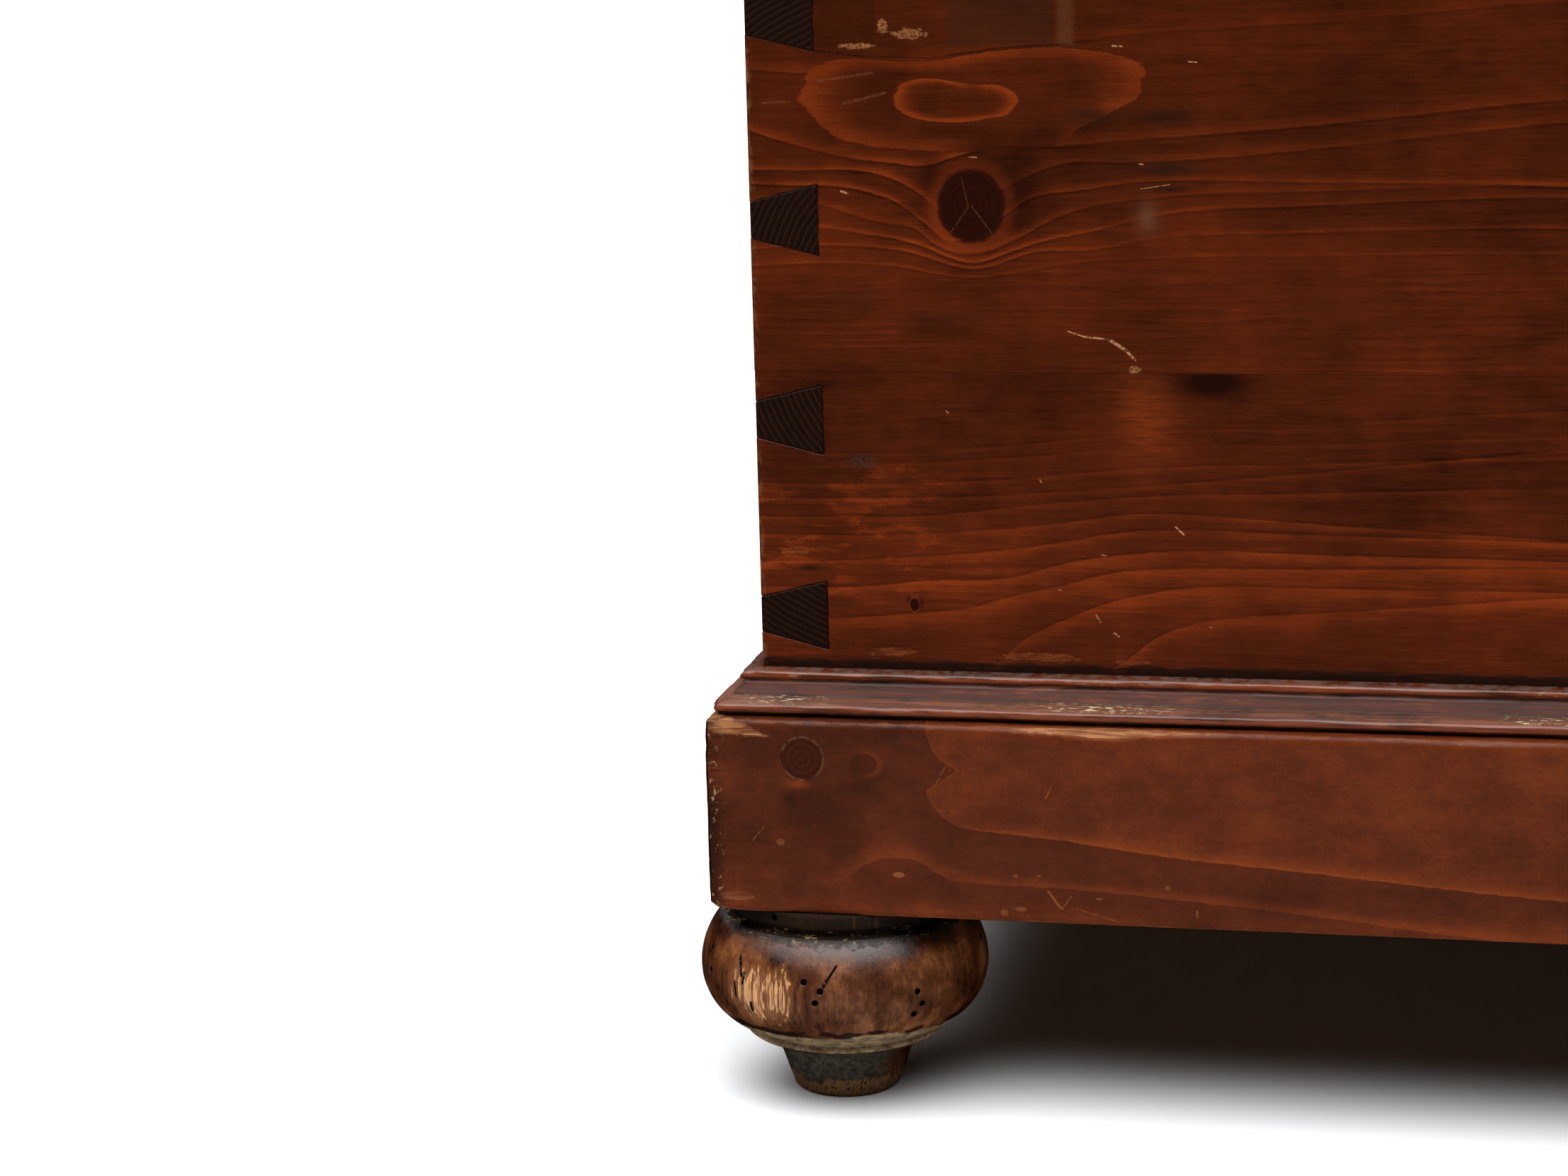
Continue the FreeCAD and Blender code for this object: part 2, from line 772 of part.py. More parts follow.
def lid_boards(let_in):
    """Two lid boards, cut for the straps, the strike plate and their nails."""
    x_low = -lid_side_gap
    x_high = case_length + lid_side_gap
    joint = lid_front_board_width - lid_side_gap
    front = block(x_low, x_high, -lid_side_gap, joint, lid_under, lid_top)
    back = block(x_low, x_high, joint, case_depth, lid_under, lid_top)
    round_start = Vector(x_low, case_depth - lid_back_round, lid_top - lid_back_round)
    corner = block(x_low, x_high, round_start.y, case_depth + 1, round_start.z, lid_top + 1)
    corner = corner.cut(Part.makeCylinder(lid_back_round, x_high - x_low, round_start, Vector(1, 0, 0)))
    return front.cut(let_in), back.cut(let_in).cut(corner)


def write(name, shape):
    """Move a piece to the middle of the footprint and write it as one node."""
    solids = shape.Solids
    shape = solids[0] if len(solids) == 1 else Part.Compound(solids)
    shape = shape.copy()
    shape.translate(footprint_centre.negative())
    shape.exportStep(os.path.join("parts", name + ".step"))


def build():
    """Every node of the chest, by name."""
    nodes = {}
    nodes["lock_nails"] = lock_nails()
    nodes["hinge_leaf_nails"] = leaf_nails()
    nodes["escutcheon_pins"] = escutcheon_pins()
    nodes["till_side"], nodes["till_floor"] = till_pieces()
    let_into_walls = Part.Compound([
        nodes["lock_nails"], nodes["hinge_leaf_nails"], nodes["escutcheon_pins"],
        nodes["till_side"], nodes["till_floor"], keyhole(-1, board_thickness + 1),
    ])
    nodes.update(wall_boards(let_into_walls))
    for number, board in enumerate(bottom_boards(), start=1):
        nodes["bottom_board_%d" % number] = board
    for name, piece in zip(("front", "left", "right", "back_rail"), plinth_boards()):
        nodes["plinth_" + name] = piece
    for name, piece in zip(("front", "left", "right"), base_mouldings()):
        nodes["base_moulding_" + name] = piece
    feet = {"front": [], "back": []}
    for name, (x, y, x_way, y_way) in foot_places().items():
        feet[name.split("_")[0]].append(foot(x, y))
        nodes["corner_block_" + name] = corner_block(x, y, x_way, y_way)
    for row, pair in feet.items():
        nodes["feet_" + row] = Part.Compound(pair)
    nodes["hinge_strap_nails"] = strap_nails()
    nodes["strike_nails"] = strike_nails()
    for side, x in hinge_places().items():
        nodes["hinge_leaf_" + side] = hinge_leaf(x).cut(nodes["hinge_leaf_nails"])
        nodes["hinge_pin_" + side] = hinge_pin(x)
        nodes["hinge_strap_" + side] = hinge_strap(x).cut(nodes["hinge_strap_nails"])
    nodes["lock_plate"] = lock_back_plate(nodes["lock_nails"])
    nodes["lock_cover"] = lock_cover()
    nodes["lock_bolt"] = lock_bolt()
    nodes["lid_strike"] = lid_strike(nodes["strike_nails"])
    nodes["escutcheon"] = escutcheon(nodes["escutcheon_pins"])
    nodes["key"] = key()
    let_into_lid = Part.Compound([
        nodes["hinge_strap_left"], nodes["hinge_strap_right"], nodes["hinge_strap_nails"],
        nodes["lid_strike"], nodes["strike_nails"],
    ])
    nodes["lid_board_front"], nodes["lid_board_back"] = lid_boards(let_into_lid)
    for name, piece in zip(("front", "left", "right"), lid_mouldings()):
        nodes["lid_moulding_" + name] = piece
    return nodes


os.makedirs("parts", exist_ok=True)
for node_name, node_shape in build().items():
    write(node_name, node_shape)
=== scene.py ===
import math
from functools import reduce
from operator import add

import bmesh
import bpy
import numpy as np
from mathutils import Matrix, Vector, noise


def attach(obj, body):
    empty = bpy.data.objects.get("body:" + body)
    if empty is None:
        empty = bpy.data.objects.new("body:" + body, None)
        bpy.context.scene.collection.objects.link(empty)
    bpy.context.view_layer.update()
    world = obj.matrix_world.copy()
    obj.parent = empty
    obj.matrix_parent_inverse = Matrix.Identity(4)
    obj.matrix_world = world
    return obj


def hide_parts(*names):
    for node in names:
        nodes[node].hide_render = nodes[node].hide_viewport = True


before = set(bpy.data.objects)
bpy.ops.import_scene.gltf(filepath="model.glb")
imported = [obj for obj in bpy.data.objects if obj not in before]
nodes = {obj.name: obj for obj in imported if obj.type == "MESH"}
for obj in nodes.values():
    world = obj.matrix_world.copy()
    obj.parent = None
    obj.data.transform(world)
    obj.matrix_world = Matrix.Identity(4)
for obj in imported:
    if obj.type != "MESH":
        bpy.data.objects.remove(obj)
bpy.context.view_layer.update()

MM = 0.001

# Numbers of the case in mm. The corner is its front left one, at floor level.
CASE_X, CASE_Y, CASE_BOTTOM, BOARD = 1100.0, 500.0, 102.0, 22.0
ORIGIN_X, ORIGIN_Y = 550.0, 242.1
PIN_PITCH, PIN_OUTER_HALF, PIN_INNER_HALF, PIN_SLOPE = 447 / 7, 5.75, 11.25, 0.25


# Node graphs

class Graph:
    """The nodes of one material, or of the world."""

    def __init__(self, name, world=False):
        blocks = bpy.data.worlds if world else bpy.data.materials
        self.block = blocks.new(name)
        self.block.use_nodes = True
        self.tree = self.block.node_tree
        self.tree.nodes.clear()
        coord = self.node("TexCoord")
        self.object = Value(self, coord.outputs["Object"])
        self.normal = Value(self, coord.outputs["Normal"])
        self.generated = Value(self, coord.outputs["Generated"])

    def node(self, kind, values=(), **settings):
        """Adds a node, with its first inputs linked or set."""
        node = self.tree.nodes.new("ShaderNode" + kind)
        for name, setting in settings.items():
            setattr(node, name, setting)
        for socket, value in zip(node.inputs, values):
            self.put(socket, value)
        return node

    def put(self, socket, value):
        """Links an input to a value, or sets it to plain numbers."""
        if isinstance(value, Value):
            self.tree.links.new(value.socket, socket)
        elif value is not None:
            if socket.type == "RGBA" and len(value) == 3:
                value = (*value, 1.0)
            socket.default_value = value

    def shader(self, colour, rough, height=None, relief=0.0003, metal=0.0, gloss=0.5):
        """Ends the graph as a surface with a bump of this relief in metres, and returns the material."""
        surface = self.node("BsdfPrincipled")
        self.put(surface.inputs["Base Color"], colour)
        self.put(surface.inputs["Roughness"], rough)
        self.put(surface.inputs["Metallic"], metal)
        surface.inputs["Specular IOR Level"].default_value = gloss
        if height is not None:
            bump = self.node("Bump")
            bump.inputs["Strength"].default_value = 1.0
            bump.inputs["Distance"].default_value = relief
            self.put(bump.inputs["Height"], height)
            self.tree.links.new(bump.outputs[0], surface.inputs["Normal"])
        end = self.node("OutputMaterial")
        self.tree.links.new(surface.outputs[0], end.inputs[0])
        return self.block


class Value:
    """A number, vector or colour that comes out of a graph's nodes. Its methods add nodes."""

    def __init__(self, graph, socket):
        self.graph = graph
        self.socket = socket
        self.parts = None

    def made(self, kind, values, output=0, **settings):
        """An output of a new node in the same graph."""
        return Value(self.graph, self.graph.node(kind, values, **settings).outputs[output])

    def math(self, operation, b=None, c=None, clamp=False):
        return self.made("Math", (self, b, c), operation=operation, use_clamp=clamp)

    def __add__(self, other):
        return self.math("ADD", other)

    def __radd__(self, other):
        return self.made("Math", (other, self), operation="ADD")

    def __sub__(self, other):
        return self.math("SUBTRACT", other)

    def __rsub__(self, other):
        return self.made("Math", (other, self), operation="SUBTRACT")

    def __mul__(self, other):
        return self.math("MULTIPLY", other)

    def __truediv__(self, other):
        return self.math("DIVIDE", other)

    def __abs__(self):
        return self.math("ABSOLUTE")

    def fraction(self):
        return self.math("FRACT")

    def muladd(self, factor, term):
        return self.math("MULTIPLY_ADD", factor, term)

    def step(self, low, high, to_low=0.0, to_high=1.0):
        """Goes smoothly from to_low at low to to_high at high."""
        return self.made("MapRange", (self, low, high, to_low, to_high), interpolation_type="SMOOTHSTEP")

    def line(self, low, high, to_low=0.0, to_high=1.0):
        """Goes straight from to_low at low to to_high at high."""
        return self.made("MapRange", (self, low, high, to_low, to_high))

    def ramp(self, stops):
        """A colour, or a number as grey, from stops of (position, colour or number)."""
        node = self.graph.node("ValToRGB", (self,))
        elements = node.color_ramp.elements
        for _ in stops[2:]:
            elements.new(0.5)
        for element, (position, colour) in zip(elements, stops):
            element.position = position
            element.color = (*(colour if isinstance(colour, tuple) else (colour,) * 3), 1.0)
        return Value(self.graph, node.outputs[0])

    def curve(self, points):
        """A smooth curve through points of (in, out)."""
        node = self.graph.node("FloatCurve")
        node.mapping.use_clip = False
        curve = node.mapping.curves[0]
        for _ in points[2:]:
            curve.points.new(0.5, 0.5)
        for spot, point in zip(curve.points, points):
            spot.location = point
            spot.handle_type = "AUTO"
        node.mapping.update()
        self.graph.put(node.inputs["Value"], self)
        return Value(self.graph, node.outputs[0])

    def split(self):
        """The three numbers of a vector."""
        if self.parts is None:
            node = self.graph.node("SeparateXYZ", (self,))
            self.parts = [Value(self.graph, output) for output in node.outputs]
        return self.parts

    def place(self, offset=(0, 0, 0), scale=(1, 1, 1)):
        """The place scaled, then moved by the offset."""
        return self.made("Mapping", (self, offset, None, scale))

    def relative_to(self, spot):
        return self.made("VectorMath", (self, spot), operation="SUBTRACT")

    def flattened(self, centre, size):
        """The place in x and z seen from a centre, in units of the sizes."""
        return self.relative_to((centre[0], 0, centre[1])).place(scale=(1 / size[0], 0, 1 / size[1]))

    def times_vector(self, vector):
        return self.made("VectorMath", (vector, None, None, self), operation="SCALE")

    def length(self):
        return self.made("VectorMath", (self,), "Value", operation="LENGTH")

    def noise(self, scale=1.0, detail=2.0, rough=0.5):
        return self.made("TexNoise", (self, None, scale, detail, rough), "Fac")

    def cells(self, scale):
        """Distance to the nearest of scattered points."""
        return self.made("TexVoronoi", (self, None, scale), "Distance")

    def attribute(self, name):
        """The number of this name that the mesh carries."""
        return self.made("Attribute", (), "Fac", attribute_name=name)

    def hill(self, centre, size):
        """A bell of height 1 over an ellipse in x and z."""
        x, _, z = self.split()
        across = x.muladd(1 / size[0], -centre[0] / size[0])
        upward = z.muladd(1 / size[1], -centre[1] / size[1])
        return (across.muladd(across, upward * upward) * -1.0).math("EXPONENT")

    def stroke(self, start, end, width):
        """1 on a line between two places in x and z, falling to 0 at its width."""
        x, _, z = self.split()
        length = math.dist(start, end)
        ux, uz = (end[0] - start[0]) / length, (end[1] - start[1]) / length
        mid_x, mid_z = (start[0] + end[0]) / 2, (start[1] + end[1]) / 2
        along = x.muladd(ux, z.muladd(uz, -mid_x * ux - mid_z * uz))
        aside = x.muladd(-uz, z.muladd(ux, mid_x * uz - mid_z * ux))
        beyond = biggest(abs(along) - length / 2, 0.0)
        return (abs(aside) + beyond).step(width, 0.3 * width)

    def strokes(self, lines, thickness):
        """The strokes of (start, end, width) together."""
        return reduce(biggest, (self.stroke(start, end, thickness * width) for start, end, width in lines))


def biggest(first, *others):
    for other in others:
        first = first.math("MAXIMUM", other)
    return first


def smallest(a, b):
    return a.math("MINIMUM", b)


def owner(*items):
    """Any one of the items that is a value of a graph."""
    return next(item for item in items if isinstance(item, Value))


def join(x, y, z):
    return owner(x, y, z).made("CombineXYZ", (x, y, z))


def mix(share, a, b, blend="MIX"):
    """Colour a, or b where share is 1."""
    values = (share, None, None, None, None, None, a, b)
    return owner(share, a, b).made("Mix", values, 2, data_type="RGBA", blend_type=blend)


# Colours

LIT, SHEEN = 1.25, 0.0026


def shade(red, green, blue):
    """Surface colour that shows as these 8-bit values on an upright face.

    It allows for the light and for the finish's sheen."""
    shown = (v / 255 / 12.92 if v <= 10 else ((v / 255 + 0.055) / 1.055) ** 2.4 for v in (red, green, blue))
    return tuple(max(0.0004, v - SHEEN) / LIT for v in shown)


DEEP = shade(42, 17, 8)
DARK = shade(68, 26, 8)
MIDDLE = shade(88, 33, 9)
ORANGE = shade(136, 52, 11)
END_GRAIN = shade(35, 19, 11)
BARE = shade(178, 138, 94)
BARE_LINE = shade(140, 96, 58)
# Near-black grime for dark joints, cracks and dirt, also used as painted shade at the base moulding's foot.
GRIME_AND_SHADE = shade(24, 18, 14)
SCRATCH = shade(180, 126, 86)


def millimetres(graph):
    """Place in mm from the corner."""
    return graph.object.place(offset=(ORIGIN_X, ORIGIN_Y, 0), scale=(1000, 1000, 1000))


def swapped(point, along):
    """The point with its fibre axis moved to x."""
    x, y, z = point.split()
    return {"x": point, "y": join(y, x, z), "z": join(z, y, x)}[along]


def fibres(grain):
    """Fine streaks along the fibres, about 0 to 1."""
    wide = grain.place(scale=(0.02, 0.55, 0.55)).noise(1.0, 4.0, 0.7)
    fine = grain.place(scale=(0.1, 2.7, 2.7)).noise(1.0, 3.0, 0.7)
    return wide * 0.48 + fine * 0.52


def rings(grain, pith, spacing, bend=1.0, seed=0.0):
    """Growth rings as a number that goes up by one a ring, round a pith line along x."""
    moved = grain.place(offset=(seed, 0, 0))
    drift = moved.place(scale=(0.0035, 0.012, 0.012)).noise(1.0, 2.0, 0.5)
    tilt = moved.place(offset=(40, 9, 3), scale=(0.0016, 0.0, 0.0)).noise(1.0, 0.0)
    x, y, z = grain.split()
    across = y - pith[0] + (drift - 0.5) * (26 * bend)
    across += (tilt - 0.5) * (46 * bend)
    radius = join(0, across, z - pith[1]).length()
    uneven = moved.place(scale=(0.01, 0.09, 0.09)).noise(1.0, 2.0, 0.5)
    return radius * (1 / spacing) + uneven * 0.7


def band(count):
    """Bright just past each whole number, fading to dark before the next one."""
    stops = [(0.0, 0.1), (0.035, 1.0), (0.16, 0.86), (0.42, 0.45), (0.72, 0.16), (1.0, 0.02)]
    return count.fraction().ramp(stops)


STAIN = [(0.0, DEEP), (0.25, DARK), (0.5, MIDDLE), (1.0, ORANGE)]
PLINTH_STAIN = [
    (0.0, shade(50, 24, 15)), (0.25, shade(70, 33, 20)), (0.5, shade(90, 40, 22)),
    (1.0, shade(132, 60, 24)),
]


def finish_clouds(body):
    """Uneven stain and rubbed polish, about -0.2 to 0.2."""
    soft = body.place(scale=(0.018, 0.02, 0.03)).noise(1.0, 3.0, 0.55)
    small = body.place(offset=(5, 2, 9), scale=(0.1, 0.12, 0.16)).noise(1.0, 2.0, 0.5)
    return (soft - 0.5) * 0.75 + (small - 0.5) * 0.28


def stained(grain, count, body, stain):
    """Colour of stained pine on a plank whose rings are counted from its pith."""
    fibre = fibres(grain)
    strong = body.place(scale=(0.006, 0.006, 0.012)).noise(1.0, 2.0).step(0.35, 0.65, 0.25, 0.72)
    level = band(count) * strong + 0.14
    level += (fibre - 0.5) * 0.75
    level += finish_clouds(body)
    return level.ramp(stain), fibre


def bare_wood(count, fibre, body):
    """Colour of old pine that was never finished."""
    late = count.fraction().ramp([(0.0, 0.0), (0.55, 0.12), (0.9, 0.75), (0.97, 1.0), (1.0, 0.0)])
    level = late * 0.75 + (fibre - 0.5) * 0.7
    colour = mix(level.math("ADD", 0.0, clamp=True), BARE, BARE_LINE)
    dirt = body.noise(0.011, 4.0, 0.6).step(0.4, 0.8, 0.0, 0.42)
    return mix(dirt, colour, (0.15, 0.082, 0.042))


def between(value, low, high, soft=0.2):
    """1 where value is between low and high."""
    return value.step(low - soft, low + soft) * value.step(high + soft, high - soft)


def inside_mask(body):
    """1 on faces inside the chest, 0 outside."""
    x, y, z = body.split()
    edge = BOARD - 0.5
    return between(x, edge, CASE_X - edge) * between(y, edge, CASE_Y - edge)


def end_mask(body, along):
    """1 where the surface cuts across the fibres."""
    normal = body.graph.normal.split()["xyz".index(along)]
    return abs(normal).step(0.72, 0.86)


def joint_lines(body):
    """1 on the dark lines between pins and tails at the four corners of the case."""
    x, y, z = body.split()
    across = smallest(x, CASE_X - x)
    inward = smallest(y, CASE_Y - y)
    rise = (z - CASE_BOTTOM).math("PINGPONG", PIN_PITCH / 2)
    half = across * PIN_SLOPE + PIN_OUTER_HALF
    shaky = (body.noise(0.35, 3.0, 0.6) - 0.5) * 0.7
    in_front = inward.step(BOARD + 0.3, BOARD - 0.1)
    in_side = across.step(BOARD + 0.3, BOARD - 0.1)

    def thin(gap):
        return abs(gap + shaky).step(0.5, 0.15)

    slant = thin(rise - half) * (in_front * in_side)
    end = thin(across - BOARD) * (rise.step(PIN_INNER_HALF + 0.4, PIN_INNER_HALF) * in_front)
    tail = thin(inward - BOARD) * ((rise - half).step(-0.3, 0.1) * in_side)
    broken = body.noise(0.22, 3.0, 0.65).step(0.38, 0.6, 0.25, 1.0)
    return biggest(slant, end, tail) * broken


def wood_board(name, along, pith, spacing, seed=0.0, level=None, base=0.0, extra=None, inner=True,
               end_pith=None, end_spacing=2.6, stain=STAIN, streaks=0.85, mottle=0.16, under=False,
               joints=False):
    """Stained pine board: growth lines, fibres, dark end grain, and bare wood on the inner faces.

    level draws the figure where the photograph shows it, and extra adds marks. The bare faces are
    those inside the chest, or with under the ones that look down."""
    graph = Graph(name)
    body = millimetres(graph)
    grain = swapped(body, along)
    ring = rings(grain, pith, spacing, seed=seed)
    if level is None:
        colour, fibre = stained(grain, ring, body, stain)
    else:
        fibre = fibres(grain)
        tone = level(body) + base
        unseen = body.split()[0].step(170.0, 420.0, 0.0, 0.3)
        tone += (band(ring) - 0.42) * unseen
        tone += (fibre - 0.5) * streaks
        tone += (body.noise(0.7, 4.0, 0.7) - 0.5) * mottle
        tone += finish_clouds(body)
        colour = tone.ramp(stain)
    rough = fibre.line(0.2, 0.8, 0.22, 0.34)
    height = fibre * 0.5
    if extra is not None:
        colour, rough, height = extra(body, colour, rough, height)
    ends = end_mask(body, along)
    count = rings(grain, end_pith or pith, end_spacing, 0.08, seed)
    share = count.fraction()
    line = share.ramp([(0.0, 0.6), (0.45, 0.8), (0.74, 1.2), (0.88, 2.2), (1.0, 0.65)])
    end_colour = mix(1.0, END_GRAIN, line, "MULTIPLY")
    pores = body.noise(1.9, 3.0, 0.65)
    end_colour = mix(pores.step(0.56, 0.7, 0.0, 0.5), end_colour, shade(60, 37, 25))
    colour = mix(ends, colour, end_colour)
    height += ends * ((share + pores * 1.5) * 0.8)
    rough += ends * 0.14
    if joints:
        gaps = joint_lines(body)
        colour = mix(gaps * 0.85, colour, GRIME_AND_SHADE)
        height -= gaps * 2.0
    if inner:
        mask = graph.normal.split()[2].step(-0.4, -0.8) if under else inside_mask(body)
        colour = mix(mask, colour, bare_wood(ring, fibre, body))
        rough += mask * 0.35
    return graph.shader(colour, rough, height, 0.00007, gloss=0.1)


# The two front boards, whose figure is seen in the photograph

# Width in mm of the seen part, and the height that the growth lines' curves count as 1.
SEEN, LEVELS = 160.0, 400.0


def grain_curve(along, points):
    """Height in mm of one growth line, from its places (x, z) in mm on the seen part of the board."""
    return along.curve([(x / SEEN, z / LEVELS) for x, z in points]) * LEVELS


def lit_edge(gap, width, share):
    """A growth line: a dark thread, then bright with a crisp start, fading over a width in mm."""
    reach = width + 1.2
    rest = 0.3
    stops = [(0.0, rest), (0.75 / reach, 0.0), (1.05 / reach, 0.12), (1.42 / reach, 1.0)]
    stops += [
        ((1.2 + share_of * width) / reach, rest + (1 - rest) * height)
        for share_of, height in ((0.3, 0.62), (0.5, 0.25), (0.75, 0.03))
    ]
    stops.append((1.0, rest))
    value = gap.line(-1.2, width).ramp(stops)
    return value.muladd(share / (1 - rest), -rest * share / (1 - rest))


def beside(gap, width):
    """1 just past a growth line, with a crisp start, fading over a width in mm."""
    fade = gap.step(width, 0.0)
    return fade * fade * gap.step(-0.12, 0.22)


def growth_lines(along, level, lines, side):
    """The bands beside the growth lines, above them (side 1) or below (side -1)."""
    return reduce(add, (
        lit_edge((level - grain_curve(along, points)) * side, width, share)
        for width, share, points in lines
    ))


def ring_round(body, centre, size, outline, width, wobble):
    """The band inside a closed growth line, given as its reach by the turn round its centre."""
    flat = body.flattened(centre, size)
    x, y, z = flat.split()
    turn = z.math("ARCTAN2", x).line(-math.pi, math.pi)
    reach = turn.curve([(degrees / 360 + 0.5, share) for degrees, share in outline])
    gap = (reach + wobble - flat.length()) * min(size)
    return gap, beside(gap, width)


def spread_knots(body, level, knots):
    """Moves the growth lines apart round knots at (x, z, reach)."""
    for x, z, reach in knots:
        near = body.hill((x, z), (reach * 1.5, reach)) * 0.78
        level -= (level - z) * near
    return level


def far_drift(body, x, amount, seed):
    """Slow rise and fall of the lines on the part of the board that the photograph leaves out."""
    slow = body.place(offset=(seed, 0, seed), scale=(0.0032, 0.01, 0.009)).noise(1.0, 1.0, 0.4)
    return (slow - 0.5) * amount * x.step(150.0, 430.0)


def fine_lines(body, level, spacing, seed):
    """Faint close growth lines that come and go, about -0.5 to 0.5."""
    uneven = body.place(offset=(seed, 0, seed), scale=(0.012, 0.05, 0.14)).noise(1.0, 2.0, 0.55)
    share = (level * (1 / spacing) + uneven * 3.4).fraction()
    line = share.ramp([(0.0, 0.1), (0.12, 0.9), (0.5, 0.55), (0.9, 0.3), (1.0, 0.1)])
    where = body.place(offset=(seed, 3, 0), scale=(0.02, 0.03, 0.07)).noise(1.0, 2.0, 0.55)
    return (line - 0.5) * where.step(0.4, 0.62)


UPPER_LINES = [
    (6.0, 0.95, [
        (0, 322), (18, 316.5), (33, 313), (46, 311.4), (56, 310.4), (67, 313.4), (79, 316.2), (92, 316),
        (122, 318), (160, 320.5),
    ]),
    (5.0, 0.85, [
        (0, 309.5), (15, 309.3), (38, 308.6), (47, 306), (55, 301.5), (62, 296), (82, 303.5), (90, 307.5),
        (100, 310.8), (122, 311), (160, 313.2),
    ]),
    (3.6, 1.0, [
        (0, 305.2), (13, 304.6), (30, 304), (40, 301.8), (47, 299.2), (56, 292.6), (64, 287), (80, 294),
        (90, 300.3), (96, 301.6), (104, 302.4), (122, 304.8), (160, 305),
    ]),
    (4.5, 0.7, [
        (0, 299), (25, 298), (33, 295.2), (45, 292.3), (53, 290.8), (60, 285.4), (72, 283), (84, 287),
        (93, 291.6), (103, 296), (130, 300.3), (160, 301.6),
    ]),
    (3.0, 0.95, [
        (0, 292), (24, 291), (38, 289), (47, 287.5), (56, 285), (64, 281.6), (72, 280), (82, 283),
        (92, 286.3), (110, 290), (130, 294.8), (160, 297),
    ]),
    (2.4, 0.75, [
        (0, 284.4), (46, 284.3), (56, 282), (64, 279.4), (72, 278.2), (80, 279.8), (89, 283), (110, 284.2),
        (127, 287.3), (160, 289),
    ]),
    (2.0, 0.5, [
        (0, 279), (46, 279), (60, 276.5), (72, 275.4), (84, 276.8), (100, 279.6), (130, 281.5), (160, 282),
    ]),
    (7.0, 0.55, [
        (0, 341), (22, 339.6), (34, 340), (47, 341), (58, 343), (80, 346.6), (100, 347.8), (120, 350),
        (160, 352),
    ]),
]


def upper_level(body):
    """Brightness of the upper front board, 0 to 1, with its ovals, growth lines and fibres."""
    x, y, z = body.split()
    ragged = body.place(scale=(0.45, 0.2, 0.6)).noise(1.0, 3.0, 0.6)
    along = x * (1 / SEEN)
    level = z + (ragged - 0.5) * 0.7
    level += far_drift(body, x, 60.0, 3.0)
    level = spread_knots(body, level, ((640, 330, 17), (905, 455, 20), (330, 462, 15)))
    lines = growth_lines(along, level, UPPER_LINES, 1.0)
    repeat = abs(level - 430.0)
    lowered = [
        (width * 1.2, share * 0.8, [(at_x, at_z - 268) for at_x, at_z in line])
        for width, share, line in UPPER_LINES[1:6]
    ]
    lines += growth_lines(along, repeat, lowered, 1.0) * z.step(364.0, 378.0)
    strong = body.place(scale=(0.022, 0.02, 0.05)).noise(1.0, 2.0, 0.5)
    lines *= strong.step(0.3, 0.62, 0.5, 1.0) * x.step(75.0, 115.0, 1.25, 0.72)
    soft = (ragged - 0.5) * 0.09
    gap, oval = ring_round(body, (70, 331), (54, 16.4), OVAL, 8.5, soft)
    inside = gap.step(-0.2, 0.2)
    lines *= 1.0 - inside * 0.97
    flat_side = body.relative_to((84, 0, 318)).length().step(8.0, 26.0)
    lines += oval * 0.92 * flat_side
    gap, loop = ring_round(body, (66.7, 330.2), (19.8, 6.6), LOOP, 3.4, soft)
    open_top = body.hill((72, 337), (3.4, 4.2))
    lines += loop * (1.35 - open_top * 1.1)
    lines += gap.step(2.0, 5.0) * -0.06
    lines *= 0.42
    faint = fine_lines(body, level, 2.7, 2.0) * z.step(292.0, 278.0, 0.06, 0.24)
    return lines + faint + z.step(296.0, 280.0, 0.0, 0.1)


OVAL = [
    (-180, 1.0), (-165, 0.95), (-150, 0.99), (-130, 1.05), (-105, 1.0), (-90, 1.0), (-60, 1.02),
    (-40, 0.86), (-22, 0.87), (0, 0.99), (16, 1.05), (35, 1.18), (50, 1.14), (75, 0.95), (90, 0.82),
    (105, 0.76), (125, 0.92), (140, 1.1), (150, 1.07), (165, 0.99), (180, 1.0),
]
LOOP = [
    (-180, 0.99), (-150, 1.0), (-120, 1.0), (-90, 0.97), (-60, 0.94), (-40, 1.02), (-20, 0.98), (0, 1.0),
    (20, 1.0), (45, 1.02), (70, 0.86), (95, 0.98), (110, 1.16), (130, 1.24), (150, 1.08), (180, 0.99),
]

